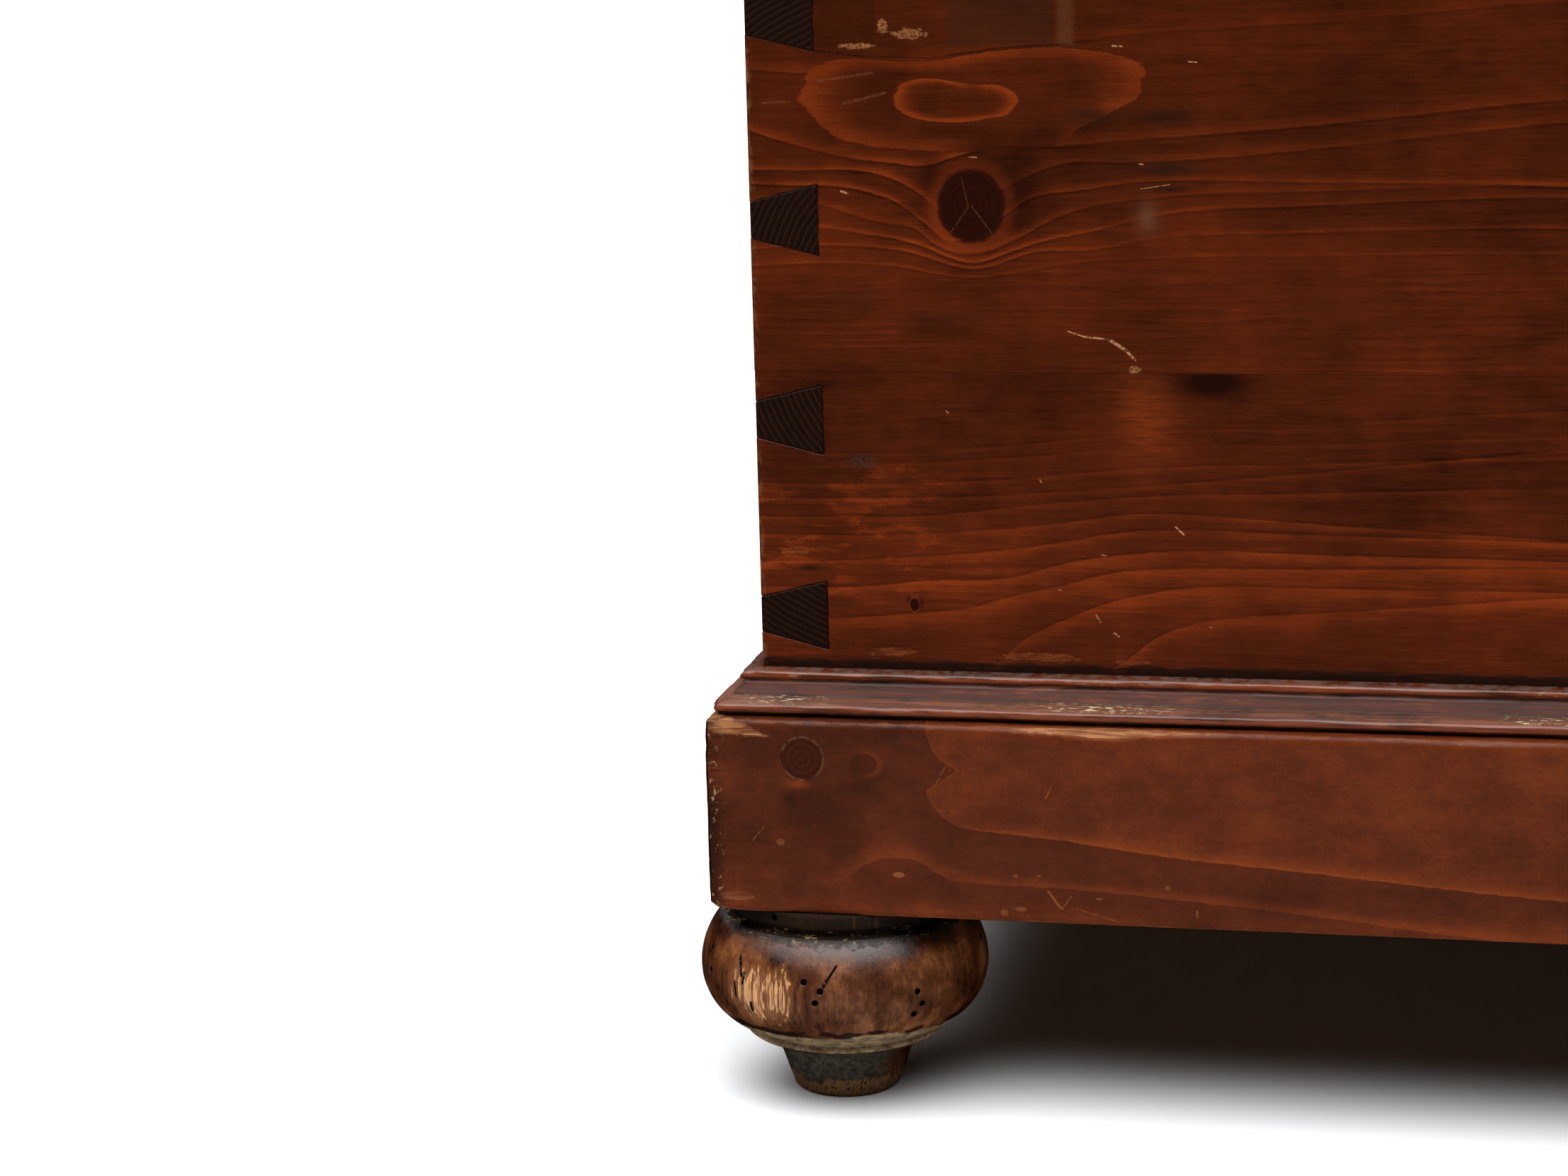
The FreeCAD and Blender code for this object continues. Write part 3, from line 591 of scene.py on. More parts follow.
LOWER_LINES = [
    (8.5, 0.62, [
        (0, 163), (22, 164.7), (54, 167.5), (70, 169.6), (78, 172.2), (99, 177.4), (117, 182), (135, 183.3),
        (160, 183.8),
    ]),
    (6.5, 0.72, [
        (0, 175), (30, 175.4), (56, 178), (82, 179.4), (88, 181), (99, 184.3), (117, 187.4), (135, 189),
        (160, 189),
    ]),
    (5.0, 0.6, [
        (0, 183.4), (30, 184.2), (56, 186.1), (83, 188.7), (99, 191.4), (118, 194.8), (131, 195.7),
        (160, 195.4),
    ]),
    (4.5, 0.62, [
        (0, 192.5), (44, 192.7), (71, 194.5), (99, 197.5), (121, 200.6), (135, 200.8), (160, 199.5),
    ]),
    (3.6, 0.5, [(0, 198), (30, 198.4), (53, 199), (77, 201.5), (99, 204.1), (130, 206.6), (160, 207.6)]),
    (3.2, 0.45, [(0, 204), (35, 204.5), (70, 205.5), (99, 207.5), (160, 212.8)]),
    (2.8, 0.4, [(0, 209), (53, 209.6), (83, 211.4), (122, 215.1), (160, 216.8)]),
    (2.4, 0.3, [(0, 214.5), (42, 215.6), (83, 218.2), (122, 221.8), (160, 223.4)]),
    (2.0, 0.26, [(0, 218.5), (45, 219.3), (90, 222.8), (122, 226.4), (160, 229)]),
    (9.0, 0.62, [
        (0, 120), (60, 138), (76, 150), (82, 156), (89, 161.2), (99, 166), (110, 170.8), (121, 174),
        (138, 177.2), (160, 178),
    ]),
    (8.0, 0.62, [(0, 90), (100, 138), (112, 149), (121, 155), (126, 159.5), (138, 165), (160, 168.6)]),
]


def lower_level(body):
    """Brightness of the lower front board: fine level lines over rising ones and a cathedral."""
    x, y, z = body.split()
    ragged = body.place(offset=(4, 0, 7), scale=(0.35, 0.2, 0.5)).noise(1.0, 3.0, 0.6)
    along = x * (1 / SEEN)
    level = z + (ragged - 0.5) * 0.8
    level += far_drift(body, x, 52.0, 8.0)
    level = spread_knots(body, level, ((760, 182, 18), (455, 214, 10), (172, 250, 14)))
    lines = growth_lines(along, level, LOWER_LINES, -1.0)
    strong = body.place(offset=(1, 6, 2), scale=(0.02, 0.02, 0.05)).noise(1.0, 2.0, 0.5)
    lines = lines * strong.step(0.3, 0.62, 0.5, 1.0) * 0.46
    lines += fine_lines(body, level, 3.1, 9.0) * 0.16
    blotchy = body.place(offset=(8, 1, 3), scale=(0.045, 0.1, 0.13)).noise(1.0, 4.0, 0.65)
    blotch = blotchy.step(0.5, 0.6) * (between(z, 172, 218, 6.0) * x.step(85.0, 40.0))
    lines += blotch * 0.26
    return lines + z.step(208.0, 180.0, 0.0, 0.16)


def spots_into(body, colour, spots, tint):
    """Soft spots, given as (centre, size, share)."""
    for centre, size, share in spots:
        colour = mix(body.hill(centre, size) * share, colour, tint)
    return colour


def knot_into(body, colour, centre, size):
    """A round dark knot with an orange rim and shadows beside it."""
    flat = body.flattened(centre, size)
    ragged = body.noise(0.25, 2.0, 0.5)
    radius = flat.length() + (ragged - 0.5) * 0.14

    def beside_knot(side_x, side_z, wide, high):
        at = (centre[0] + side_x * size[0], centre[1] + side_z * size[1])
        return body.hill(at, (wide * size[0], high * size[1]))

    for where in ((1.42, 0.35, 0.55, 0.95), (-1.2, 0.85, 0.42, 0.6)):
        colour = mix(beside_knot(*where) * 0.72, colour, shade(40, 16, 7))
    low_left = beside_knot(-0.85, -0.75, 1.1, 0.9)
    rim = radius.step(0.96, 1.06) * radius.step(1.5, 1.12)
    colour = mix(rim * (0.2 + low_left * 0.45), colour, shade(120, 45, 12))
    ring = (radius * 30.0).math("SINE")
    inner = mix(ring.line(-1.0, 1.0, 0.0, 0.4), shade(39, 17, 9), shade(52, 19, 8))
    return mix(radius.step(1.05, 0.9), colour, inner)


def marks_into(body, colour, strokes, tint, share=0.9):
    """Thin knocks and scratches that show lighter wood."""
    mask = body.strokes(strokes, 0.72)
    broken = body.noise(0.9, 2.0, 0.6).step(0.36, 0.52)
    return mix(mask * broken * share, colour, tint)


def corner_wear(body, colour, rough):
    """Rubbed and chipped finish along the four upright corners."""
    x, y, z = body.split()
    edge = biggest(smallest(x, CASE_X - x), smallest(y, CASE_Y - y))
    ragged = body.place(scale=(1.0, 1.0, 0.35)).noise(0.5, 4.0, 0.7)
    mask = edge.step(2.4, 0.2) * ragged.step(0.46, 0.6)
    colour = mix(mask * 0.6, colour, shade(128, 78, 48))
    return colour, rough + mask * 0.1


def ragged_patch(body, centre, size, roughness=0.9):
    """A patch with a torn outline, 0 or 1."""
    torn = body.place(scale=(0.35, 0.6, 0.8)).noise(1.0, 4.0, 0.65)
    return (body.hill(centre, size) + (torn - 0.5) * roughness).step(0.5, 0.6)


def ragged_patches(body, patches):
    """Patches of (centre, size, roughness) together."""
    return reduce(biggest, [ragged_patch(body, *patch) for patch in patches])


def upper_details(body, colour, rough, height):
    """Knots, stains, scratches, chips and a crack on the upper front board."""
    x, y, z = body.split()
    top = z.step(346.6, 347.6) * x.step(22.0, 22.6)
    dark = top * x.step(42.2, 41.0) * z.step(372.0, 360.0)
    colour = mix(dark * 0.6, colour, shade(52, 22, 10))
    grey = between(x, 64, 97, 1.6) * top * z.step(372.0, 362.0)
    colour = mix(grey * 0.5, colour, shade(58, 32, 20))
    smear = between(x, 98.5, 103.5, 1.4) * (top * z.step(368.0, 360.0))
    colour = mix(smear * 0.22, colour, shade(120, 74, 48))
    stains = [
        ((109, 325.6), (8, 3.0), 0.8), ((131, 324.8), (9, 2.4), 0.75), ((132, 309), (10, 2.6), 0.8),
        ((133, 302.6), (6, 1.0), 0.85), ((118, 312), (8, 1.6), 0.4), ((34, 267), (8, 4), 0.35),
        ((60, 262), (12, 3), 0.3),
    ]
    colour = spots_into(body, colour, stains, shade(42, 24, 16))
    colour = spots_into(body, colour, [((126, 294), (3.2, 4.5), 0.3)], shade(120, 84, 62))
    colour = knot_into(body, colour, (71.0, 297.8), (10.6, 11.6))
    # Beyond the seen part one knot is drawn at three places, by moving the place back to the first.
    second = x.math("GREATER_THAN", 480.0)
    third = x.math("GREATER_THAN", 780.0)
    folded = body.relative_to(second.times_vector((310, 0, -132)))
    folded = folded.relative_to(third.times_vector((265, 0, 125)))
    colour = knot_into(folded, colour, (330, 462), (7.4, 8.2))
    star = [
        ((70.1, 297.5), (68.0, 307), 0.22), ((70.1, 297.5), (64, 289), 0.22),
        ((71, 298), (77.4, 289.3), 0.26),
    ]
    colour = marks_into(body, colour, star, shade(96, 62, 38), 0.75)
    crack = [
        ((22.3, 346.6), (37.8, 344.5), 0.42), ((37.8, 344.5), (59.3, 343.7), 0.26),
        ((59.3, 343.7), (79.1, 346.5), 0.32), ((79.1, 346.5), (102, 347.5), 0.24),
    ]
    colour = marks_into(body, colour, crack, GRIME_AND_SHADE, 0.9)
    light = [
        ((101.0, 258.6), (106, 256.9), 0.45), ((106, 256.9), (113.8, 256.1), 0.6),
        ((113.8, 256.1), (119, 252.8), 0.95), ((119, 252.8), (122, 249.6), 0.8),
        ((29.6, 302.6), (31.8, 302.0), 0.7), ((70.4, 313.1), (73, 312.9), 0.35),
        ((115.5, 346.7), (118.6, 346.5), 0.5), ((138.8, 341.6), (141.4, 341.4), 0.4),
        ((123.6, 310.6), (124.8, 310.4), 0.4), ((124, 302.9), (133, 304.2), 0.22),
    ]
    colour = marks_into(body, colour, light, SCRATCH)
    rubs = [
        ((31, 330.0), (44.5, 333.2), 0.9), ((23, 337), (40.4, 339.4), 0.8), ((5, 330.4), (14, 330.8), 0.6),
    ]
    colour = marks_into(body, colour, rubs, shade(112, 62, 38), 0.5)
    chip = ragged_patches(body, [
        ((52.5, 351.2), (6.2, 2.0), 1.5), ((44, 353.5), (2.2, 3.0), 1.5), ((36, 347.6), (6.5, 1.2), 1.7),
        ((121.8, 246.6), (2.3, 1.6), 1.1),
    ])
    flake = body.noise(1.1, 3.0, 0.65).step(0.38, 0.66)
    colour = mix(chip * 0.85, colour, mix(flake, shade(92, 46, 20), shade(158, 106, 60)))
    colour, rough = corner_wear(body, colour, rough)
    return colour, rough + chip * 0.25, height - chip * 0.7


def lower_details(body, colour, rough, height):
    """Knots, stains, scratches and worn finish on the lower front board, and grime at its foot."""
    x, y, z = body.split()
    halo = body.hill((125, 232), (9, 16))
    streaky = body.place(scale=(0.08, 0.6, 0.9)).noise(1.0, 3.0, 0.65)
    halo *= streaky.step(0.36, 0.6, 0.25, 1.0)
    colour = mix(halo * 0.55, colour, shade(134, 54, 13))
    dark = body.hill((146, 242.5), (13, 5.5)) * 1.25
    colour = mix(dark.math("ADD", 0.0, clamp=True), colour, shade(38, 16, 9))
    for centre, size in (((50.6, 170.0), (1.5, 2.1)), ((760, 182), (7.4, 8.2))):
        colour = knot_into(body, colour, centre, size)
    colour = spots_into(body, colour, [((16, 181.5), (5, 1.6), 0.8)], shade(40, 20, 12))
    smudge = body.hill((34.5, 216.5), (4.2, 1.8)) * body.noise(0.7, 2.0).step(0.35, 0.6)
    colour = mix(smudge * 0.75, colour, shade(66, 52, 44))
    rubbed = ragged_patches(body, [
        ((43, 154.2), (9, 1.6), 1.5), ((91, 153.6), (16, 1.8), 1.5), ((121, 152.8), (7, 1.2), 1.5),
        ((11, 187.0), (7, 1.6), 1.6), ((390, 152.6), (40, 1.5), 1.5), ((700, 153.2), (26, 1.5), 1.5),
    ])
    streaky = body.place(scale=(0.12, 0.8, 1.6)).noise(1.0, 3.0, 0.65)
    rubbed *= streaky.step(0.36, 0.58)
    colour = mix(rubbed * 0.7, colour, mix(streaky, shade(98, 42, 13), shade(146, 74, 27)))
    torn = body.place(scale=(0.1, 0.3, 0.9)).noise(1.0, 4.0, 0.65)
    foot_line = z + (torn - 0.5) * 7.0
    grime = foot_line.step(152.4, 150.6) * torn.step(0.3, 0.5, 0.35, 1.0)
    colour = mix(grime * 0.85, colour, GRIME_AND_SHADE)
    grain_dots = body.noise(1.4, 1.0).step(0.68, 0.74) * z.step(157.0, 153.0)
    colour = mix(grain_dots * 0.7, colour, shade(30, 18, 12))
    light = [
        ((91.6, 211.3), (92.2, 210.4), 0.35), ((114.8, 162.2), (116.4, 161.0), 0.5),
        ((134.4, 196.8), (137, 194.4), 0.6), ((97, 176), (98, 175.6), 0.3),
        ((109, 168), (110.6, 165.6), 0.35), ((62.0, 233), (62.6, 232.4), 0.35),
        ((145, 165), (145.6, 164.6), 0.4), ((111, 187.4), (112.4, 187.2), 0.3),
    ]
    colour = marks_into(body, colour, light, SCRATCH)
    colour, rough = corner_wear(body, colour, rough)
    return colour, rough + biggest(rubbed, grime) * 0.2, height


PLINTH_EDGE = [
    (70, 150), (94, 110), (99, 72), (102, 65), (105.4, 60.4), (108.6, 58.1), (112.8, 56.4), (115.2, 59.2),
    (117.7, 63.4), (120.1, 65.7), (121.4, 63.4), (125, 59.4), (128.2, 57.6), (135, 56),
]
PLINTH_TONGUE = [
    (0, 140), (52, 116), (58, 107), (65, 101.8), (70.4, 100.4), (78, 99.7), (99, 97.9), (122, 95),
    (134, 93.6), (160, 91.6),
]
PLINTH_HILL = [
    (0, 76.4), (14, 78.6), (25.5, 80.8), (31.2, 83.9), (37, 87.9), (46.2, 89.9), (53.6, 88.8), (58.2, 86),
    (63, 83.4), (70, 82.6), (98.5, 81.9), (110, 81.4), (128, 80.2), (160, 77.8),
]


def plinth_level(body):
    """Brightness of the plinth's face: a tongue from the right and a hill beneath it."""
    x, y, z = body.split()
    ragged = body.place(offset=(2, 5, 4), scale=(0.3, 0.2, 0.4)).noise(1.0, 3.0, 0.6)
    along = x * (1 / SEEN)
    level = z + (ragged - 0.5) * 0.9
    level += far_drift(body, x, 34.0, 5.0)
    rise = level.line(70.0, 135.0)
    edge = rise.curve([((pz - 70) / 65, px / SEEN) for pz, px in PLINTH_EDGE]) * SEEN
    gap = smallest(x - edge, level - grain_curve(along, PLINTH_TONGUE))
    bright = gap.step(-0.15, 0.25) * 0.18
    bright += beside(gap, 2.2) * 0.14
    lower = level.step(112.0, 98.0) * x.step(66.0, 84.0)
    bright += beside(gap, 7.0) * lower * 0.2
    gap = level - grain_curve(along, PLINTH_HILL)
    reach = 4.5 + body.hill((46, 90), (16, 40)) * 9.0
    fade = (gap / reach).step(1.0, 0.0)
    over = fade * gap.step(-0.2, 0.4) * x.step(16.0, 40.0)
    bright += over * 0.26
    bright += z.step(80.0, 71.0) * 0.18
    cloudy = body.place(offset=(3, 0, 8), scale=(0.05, 0.05, 0.09)).noise(1.0, 3.0, 0.6)
    return bright + (cloudy - 0.5) * x.step(95.0, 55.0, 0.15, 0.55)


def plinth_details(body, colour, rough, height):
    """Two knots, shadows, scratches, flecks and worn arrises on the plinth."""
    x, y, z = body.split()
    shadows = [
        ((18, 108), (9, 16), 0.5), ((29, 98), (8, 9), 0.4), ((1, 121), (7, 9), 0.4),
        ((24, 130), (20, 4), 0.35),
    ]
    colour = spots_into(body, colour, shadows, shade(46, 24, 16))
    radius = body.flattened((36.0, 121.0), (4.6, 3.6)).length()
    right_side = x.step(33.0, 38.0)
    colour = mix(radius.step(1.6, 1.0) * right_side * 0.35, colour, shade(122, 56, 22))
    colour = mix(radius.step(1.03, 0.95) * 0.75, colour, shade(66, 30, 18))
    colour = spots_into(body, colour, [((14.4, 113.6), (3.4, 1.4), 0.8)], shade(128, 54, 20))
    radius = body.flattened((15.9, 122.2), (6.9, 7.1)).length()
    inner = (radius * 21.0).math("SINE").line(-1.0, 1.0, 0.0, 0.45)
    colour = mix(radius.step(1.04, 0.96), colour, mix(inner, shade(58, 25, 16), shade(78, 34, 20)))
    rim = radius.step(0.93, 1.0) * radius.step(1.07, 1.0)
    broken = body.noise(0.45, 2.0).step(0.4, 0.55)
    colour = mix(rim * 0.5, colour, shade(34, 18, 12))
    colour = mix(rim * broken * 0.28, colour, shade(150, 110, 84))
    colour = spots_into(body, colour, [((11.5, 108.6), (2.2, 2.2), 0.8)], shade(48, 24, 16))
    light = [
        ((95.2, 81.0), (97.6, 77.6), 0.7), ((97.6, 77.6), (99.6, 75.2), 0.9),
        ((99.6, 75.2), (102.8, 79.7), 0.35), ((104, 75.6), (118, 71.6), 0.28),
        ((62.6, 121.0), (59.6, 115.6), 0.3), ((96.4, 115), (94.6, 111.6), 0.5),
        ((2.6, 99), (-1.4, 94), 0.3),
    ]
    colour = marks_into(body, colour, light, shade(150, 84, 44), 0.6)
    spots = ragged_patch(body, (46.8, 84.5), (2.4, 1.2), 0.3)
    for centre, size in (
        ((81.0, 73.3), (1.5, 1.3)), ((86.3, 74.6), (2.1, 0.9)), ((111.6, 79.1), (1.4, 0.5)),
        ((133.3, 83.5), (0.9, 1.0)), ((142.7, 75.3), (0.5, 1.6)), ((84.8, 85.6), (1.0, 0.7)),
        ((92.2, 85.9), (0.9, 0.4)), ((8.0, 94.0), (1.6, 1.3)),
    ):
        spots = biggest(spots, body.hill(centre, size).step(0.35, 0.6, 0.0, 0.55))
    colour = mix(spots * 0.8, colour, shade(138, 80, 42))
    ragged = body.place(scale=(0.22, 0.35, 0.9)).noise(1.0, 4.0, 0.65)
    rubbed = body.attribute("wear") + (ragged - 0.5) * 1.7
    first = rubbed.step(0.3, 0.85)
    colour = mix(first * 0.6, colour, shade(134, 74, 44))
    torn = (ragged - 0.5) * 5.0
    floor_line = (z + x * 0.09 + torn).step(128.6, 129.6)
    roof_line = (z + x * 0.34 + torn).step(132.0, 130.6)
    corner = floor_line * roof_line * (x.step(6.0, 3.0) * y.step(24.0, 2.0))
    low_corner = ragged_patch(body, (-7.0, 75.5), (7.5, 2.0))
    second = biggest(rubbed.step(1.05, 1.3), corner * 0.95, low_corner * 0.3)
    streak = body.place(scale=(0.07, 1.2, 1.6)).noise(1.0, 3.0, 0.6)
    bare = mix(streak.step(0.35, 0.65), shade(114, 60, 32), shade(186, 128, 82))
    colour = mix(second * 0.85, colour, bare)
    side_edge = x.step(-9.0, -15.0) * y.step(30.0, -8.0)
    # Darker in patches along the left side near the front corner.
    left_edge_darkening = side_edge * (ragged + body.hill((-14, 88), (10, 16)) * 0.3).step(0.38, 0.62)
    colour = mix(left_edge_darkening * 0.75, colour, shade(40, 23, 14))
    flecks = side_edge * body.place(scale=(1.0, 1.0, 0.6)).noise(0.55, 3.0, 0.7).step(0.58, 0.66)
    colour = mix(flecks * 0.8, colour, shade(176, 142, 98))
    rough += second * 0.25
    height -= biggest(second, spots) * 0.5
    under = body.graph.normal.split()[2].step(-0.75, -0.9)
    colour = mix(under * 0.85, colour, shade(78, 50, 32))
    return colour, rough, height


def iron():
    """Forged iron with hammer marks and some rust."""
    graph = Graph("forged_iron")
    body = millimetres(graph)
    hammer = body.cells(0.11)
    grain = body.noise(0.9, 4.0, 0.65)
    rust = body.noise(0.06, 4.0, 0.65).step(0.5, 0.68)
    colour = mix(grain, (0.022, 0.02, 0.019), (0.075, 0.068, 0.064))
    colour = mix(rust * 0.7, colour, (0.085, 0.032, 0.013))
    rough = grain.line(0.2, 0.8, 0.42, 0.62) + rust * 0.2
    height = hammer * 0.8 + grain * 0.35
    return graph.shader(colour, rough, height, 0.0005, metal=0.35)


def brass():
    """Old brass with dark tarnish."""
    graph = Graph("old_brass")
    body = millimetres(graph)
    cloud = body.noise(0.12, 4.0, 0.6)
    fine = body.place(scale=(1, 1, 0.2)).noise(1.6, 3.0, 0.6)
    colour = mix(cloud, (0.22, 0.125, 0.04), (0.5, 0.32, 0.115))
    tarnish = body.noise(0.05, 4.0, 0.65).step(0.48, 0.66)
    colour = mix(tarnish * 0.65, colour, (0.075, 0.048, 0.024))
    rough = fine.line(0.2, 0.8, 0.26, 0.42) + tarnish * 0.2
    return graph.shader(colour, rough, fine, 0.0001, metal=0.5, gloss=0.6)


def paint(node_names, material):
    """Gives a material to CAD nodes."""
    for name in node_names:
        mesh = nodes[name].data
        mesh.materials.clear()
        mesh.materials.append(material)


def soften(node_names, width, segments=2):
    """Welds the shells of CAD nodes and takes the sharpness off their edges."""
    for name in node_names:
        piece = nodes[name]
        weld = piece.modifiers.new("weld", "WELD")
        weld.merge_threshold = 0.00001
        bevel = piece.modifiers.new("worn_edges", "BEVEL")
        bevel.width = width
        bevel.segments = segments
        bevel.limit_method = "ANGLE"
        bevel.angle_limit = math.radians(34)
        bevel.harden_normals = False
        bevel.use_clamp_overlap = True


# Case boards

paint(["front_board_upper"], wood_board(
    "front_upper_pine", "x", (120.0, 300.0), 5.0, level=upper_level, base=0.28, extra=upper_details,
    joints=True,
))
paint(["front_board_lower"], wood_board(
    "front_lower_pine", "x", (120.0, 180.0), 5.0, level=lower_level, base=0.3, extra=lower_details,
    joints=True,
))


def side_details(body, colour, rough, height):
    """A small chip and the rubbed corners of a side board."""
    colour = spots_into(body, colour, [((19, 238.6), (3.0, 2.2), 0.5)], shade(92, 48, 30))
    colour, rough = corner_wear(body, colour, rough)
    return colour, rough, height


def rubbed_edges(body, colour, rough, height):
    """Finish rubbed through in places along the lid's lip and bead."""
    x, y, z = body.split()
    patchy = body.place(scale=(0.03, 0.03, 0.25)).noise(1.0, 4.0, 0.65)
    outward = biggest(0.0 - x, x - CASE_X, 0.0 - y)
    torn = (body.place(scale=(0.2, 0.2, 1.0)).noise(1.0, 4.0, 0.65) - 0.5) * 3.0
    lip = (outward + torn).step(16.4, 17.4) * biggest(
        between(z, 555.4, 557.0, 0.5), between(z, 561.4, 563.4, 0.6),
    )
    bead = (outward + torn).step(12.2, 13.2) * z.step(541.0, 540.0)
    mask = biggest(lip, bead) * patchy.step(0.44, 0.68)
    colour = mix(mask * 0.55, colour, shade(132, 76, 44))
    return colour, rough + mask * 0.15, height


for side, pith_x, heart_x in (("left", 44.0, 60.0), ("right", 1056.0, 1040.0)):
    for part, pith_z, heart_z, seed in (("upper", 400.0, 268.0, 0.0), ("lower", 180.0, 256.0, 300.0)):
        paint([f"{side}_board_{part}"], wood_board(
            f"{side}_{part}_pine", "y", (pith_x, pith_z), 5.4, seed + pith_x, extra=side_details,
            end_pith=(heart_x, heart_z), end_spacing=2.0, joints=True,
        ))
paint(["back_board_lower"], wood_board("back_lower_pine", "x", (535.0, 190.0), 4.6, 11.0, joints=True))
paint(["back_board_upper"], wood_board("back_upper_pine", "x", (540.0, 410.0), 5.2, 23.0, joints=True))
paint(["lid_board_front"], wood_board("lid_front_pine", "x", (110.0, 640.0), 5.0, 31.0, under=True))
paint(["lid_board_back"], wood_board("lid_back_pine", "x", (400.0, 628.0), 4.6, 47.0, under=True))
for side, along, pith_y in (("front", "x", -14.0), ("left", "y", -14.0), ("right", "y", 1114.0)):
    pith = (pith_y, 530.0 if side == "front" else 520.0)
    name = f"lid_moulding_{side}"
    paint([name], wood_board(name + "_pine", along, pith, 4.0, 71.0, inner=False, extra=rubbed_edges))
    soften([name], 0.0007, 3)
soften([name for name in nodes if name.endswith(("_board_lower", "_board_upper"))], 0.0004)
soften(["lid_board_front", "lid_board_back"], 0.0004)


def bare_board(name, along, pith, spacing, seed):
    """Pine that was never stained, as the bottom, blocks and till, with painted shade on its low
    undersides.
    """
    graph = Graph(name)
    body = millimetres(graph)
    grain = swapped(body, along)
    ring = rings(grain, pith, spacing, 0.8, seed)
    fibre = fibres(grain)
    colour = bare_wood(ring, fibre, body)
    ends = end_mask(body, along)
    colour = mix(ends * 0.6, colour, (0.12, 0.06, 0.026))
    x, y, z = body.split()
    # Faces below 112 mm that don't look up are painted dark brown: painted shade under the chest.
    under = graph.normal.split()[2].step(0.5, -0.2) * z.step(112.0, 106.0)
    colour = mix(under * 0.9, colour, (0.058, 0.028, 0.014))
    height = fibre * 0.6 + ring.fraction() * 0.2
    return graph.shader(colour, fibre.line(0.2, 0.8, 0.66, 0.82), height, 0.0003, gloss=0.3)


bottoms = ["bottom_board_1", "bottom_board_2", "bottom_board_3"]
for number, name in enumerate(bottoms, 1):
    pith = (150.0 * number - 40, 30.0)
    paint([name], bare_board(f"bottom_pine_{number}", "x", pith, 4.4, 60.0 * number))
blocks = [name for name in nodes if name.startswith("corner_block")]
for number, name in enumerate(blocks):
    paint([name], bare_board(f"block_pine_{number}", "x", (80.0 * number, 20.0), 3.6, 17.0 * number))
paint(["plinth_back_rail"], wood_board(
    "rail_pine", "x", (520.0, 40.0), 4.0, 77.0, inner=False, stain=PLINTH_STAIN,
))
paint(["till_side"], bare_board("till_side_pine", "y", (120.0, 420.0), 3.2, 90.0))
paint(["till_floor"], bare_board("till_floor_pine", "y", (90.0, 360.0), 3.2, 99.0))
soften([*blocks, *bottoms, "plinth_back_rail", "till_side", "till_floor"], 0.0005)

iron_nodes = [name for name in nodes if name.startswith(("hinge_", "lock_", "lid_strike", "strike_"))]
iron_nodes.append("key")
paint(iron_nodes, iron())
paint(["escutcheon", "escutcheon_pins"], brass())
soften([name for name in iron_nodes if "nails" not in name], 0.00025)
soften(["escutcheon"], 0.0002)


# Swept and turned pieces

def smooth_noise(point, seed):
    """Fractal noise about zero at a point in mm."""
    return noise.fractal(Vector(point) + Vector((seed, seed * 1.7, -seed)), 1.0, 2.0, 3)


def in_scene(x, y, z):
    """A point in mm from the case's corner, as metres in the scene."""
    return (x - ORIGIN_X) * MM, (y - ORIGIN_Y) * MM, z * MM


def mesh_piece(name, vertices, faces, material, replaced, values):
    """Makes a piece on the case from vertices in metres and stands it in for a CAD node.

    values holds lists with one number a vertex, which the material reads by name."""
    mesh = bpy.data.meshes.new(name)
    mesh.from_pydata(vertices, [], faces)
    for key, numbers in values.items():
        attribute = mesh.attributes.new(key, "FLOAT", "POINT")
        attribute.data.foreach_set("value", np.asarray(numbers, np.float32))
    mesh.validate()
    mesh.update()
    cleaner = bmesh.new()
    cleaner.from_mesh(mesh)
    bmesh.ops.recalc_face_normals(cleaner, faces=cleaner.faces)
    cleaner.to_mesh(mesh)
    cleaner.free()
    mesh.shade_smooth()
    mesh.materials.append(material)
    piece = bpy.data.objects.new(name, mesh)
    bpy.context.scene.collection.objects.link(piece)
    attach(piece, "case")
    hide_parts(replaced)
    return piece


def round_corner(centre, radius, start, end, steps):
    """Points round an arc, angles in degrees."""
    turns = [math.radians(start + (end - start) * i / steps) for i in range(steps + 1)]
    return [(centre[0] + radius * math.cos(turn), centre[1] + radius * math.sin(turn)) for turn in turns]


def tube_faces(count, rows):
    """Quads between rows of as many vertices, each row closed to a loop."""
    return [
        (low + i, low + (i + 1) % count, low + count + (i + 1) % count, low + count + i)
        for low in range(0, count * (rows - 1), count) for i in range(count)
    ]


def swept(side, profile, shape):
    """Sweeps a closed profile of (outward, height) along one side, mitred at the front corners.

    shape(x, y, out, height) gives the moved x, y and z of a point in mm, and its wear."""
    if side == "front":
        length, near, fine, coarse = CASE_X, 170, 2.0, 6.0
    else:
        length, near, fine, coarse = CASE_Y, 60, 2.5, 8.0
    stations = [("low", 1 - i / 10) for i in range(10)]
    places = (*np.arange(0, near, fine), *np.arange(near, length, coarse), length)
    stations += [("at", place) for place in places]
    if side == "front":
        stations += [("high", i / 10) for i in range(1, 11)]
    vertices, wear = [], []
    for kind, value in stations:
        for out, height in profile:
            along = {"low": -out * value, "at": value, "high": length + out * value}[kind]
            x, y = {"front": (along, -out), "left": (-out, along), "right": (CASE_X + out, along)}[side]
            x, y, z, worn = shape(x, y, out, height)
            vertices.append(in_scene(x, y, z))
            wear.append(worn)
    count = len(profile)
    first, last = range(count), range(len(vertices) - count, len(vertices))
    faces = [*tube_faces(count, len(stations)), tuple(first), tuple(last)[::-1]]
    return vertices, faces, wear


PLINTH_LOW, PLINTH_TOP, PLINTH_OUT = 70.0, 135.0, 16.5


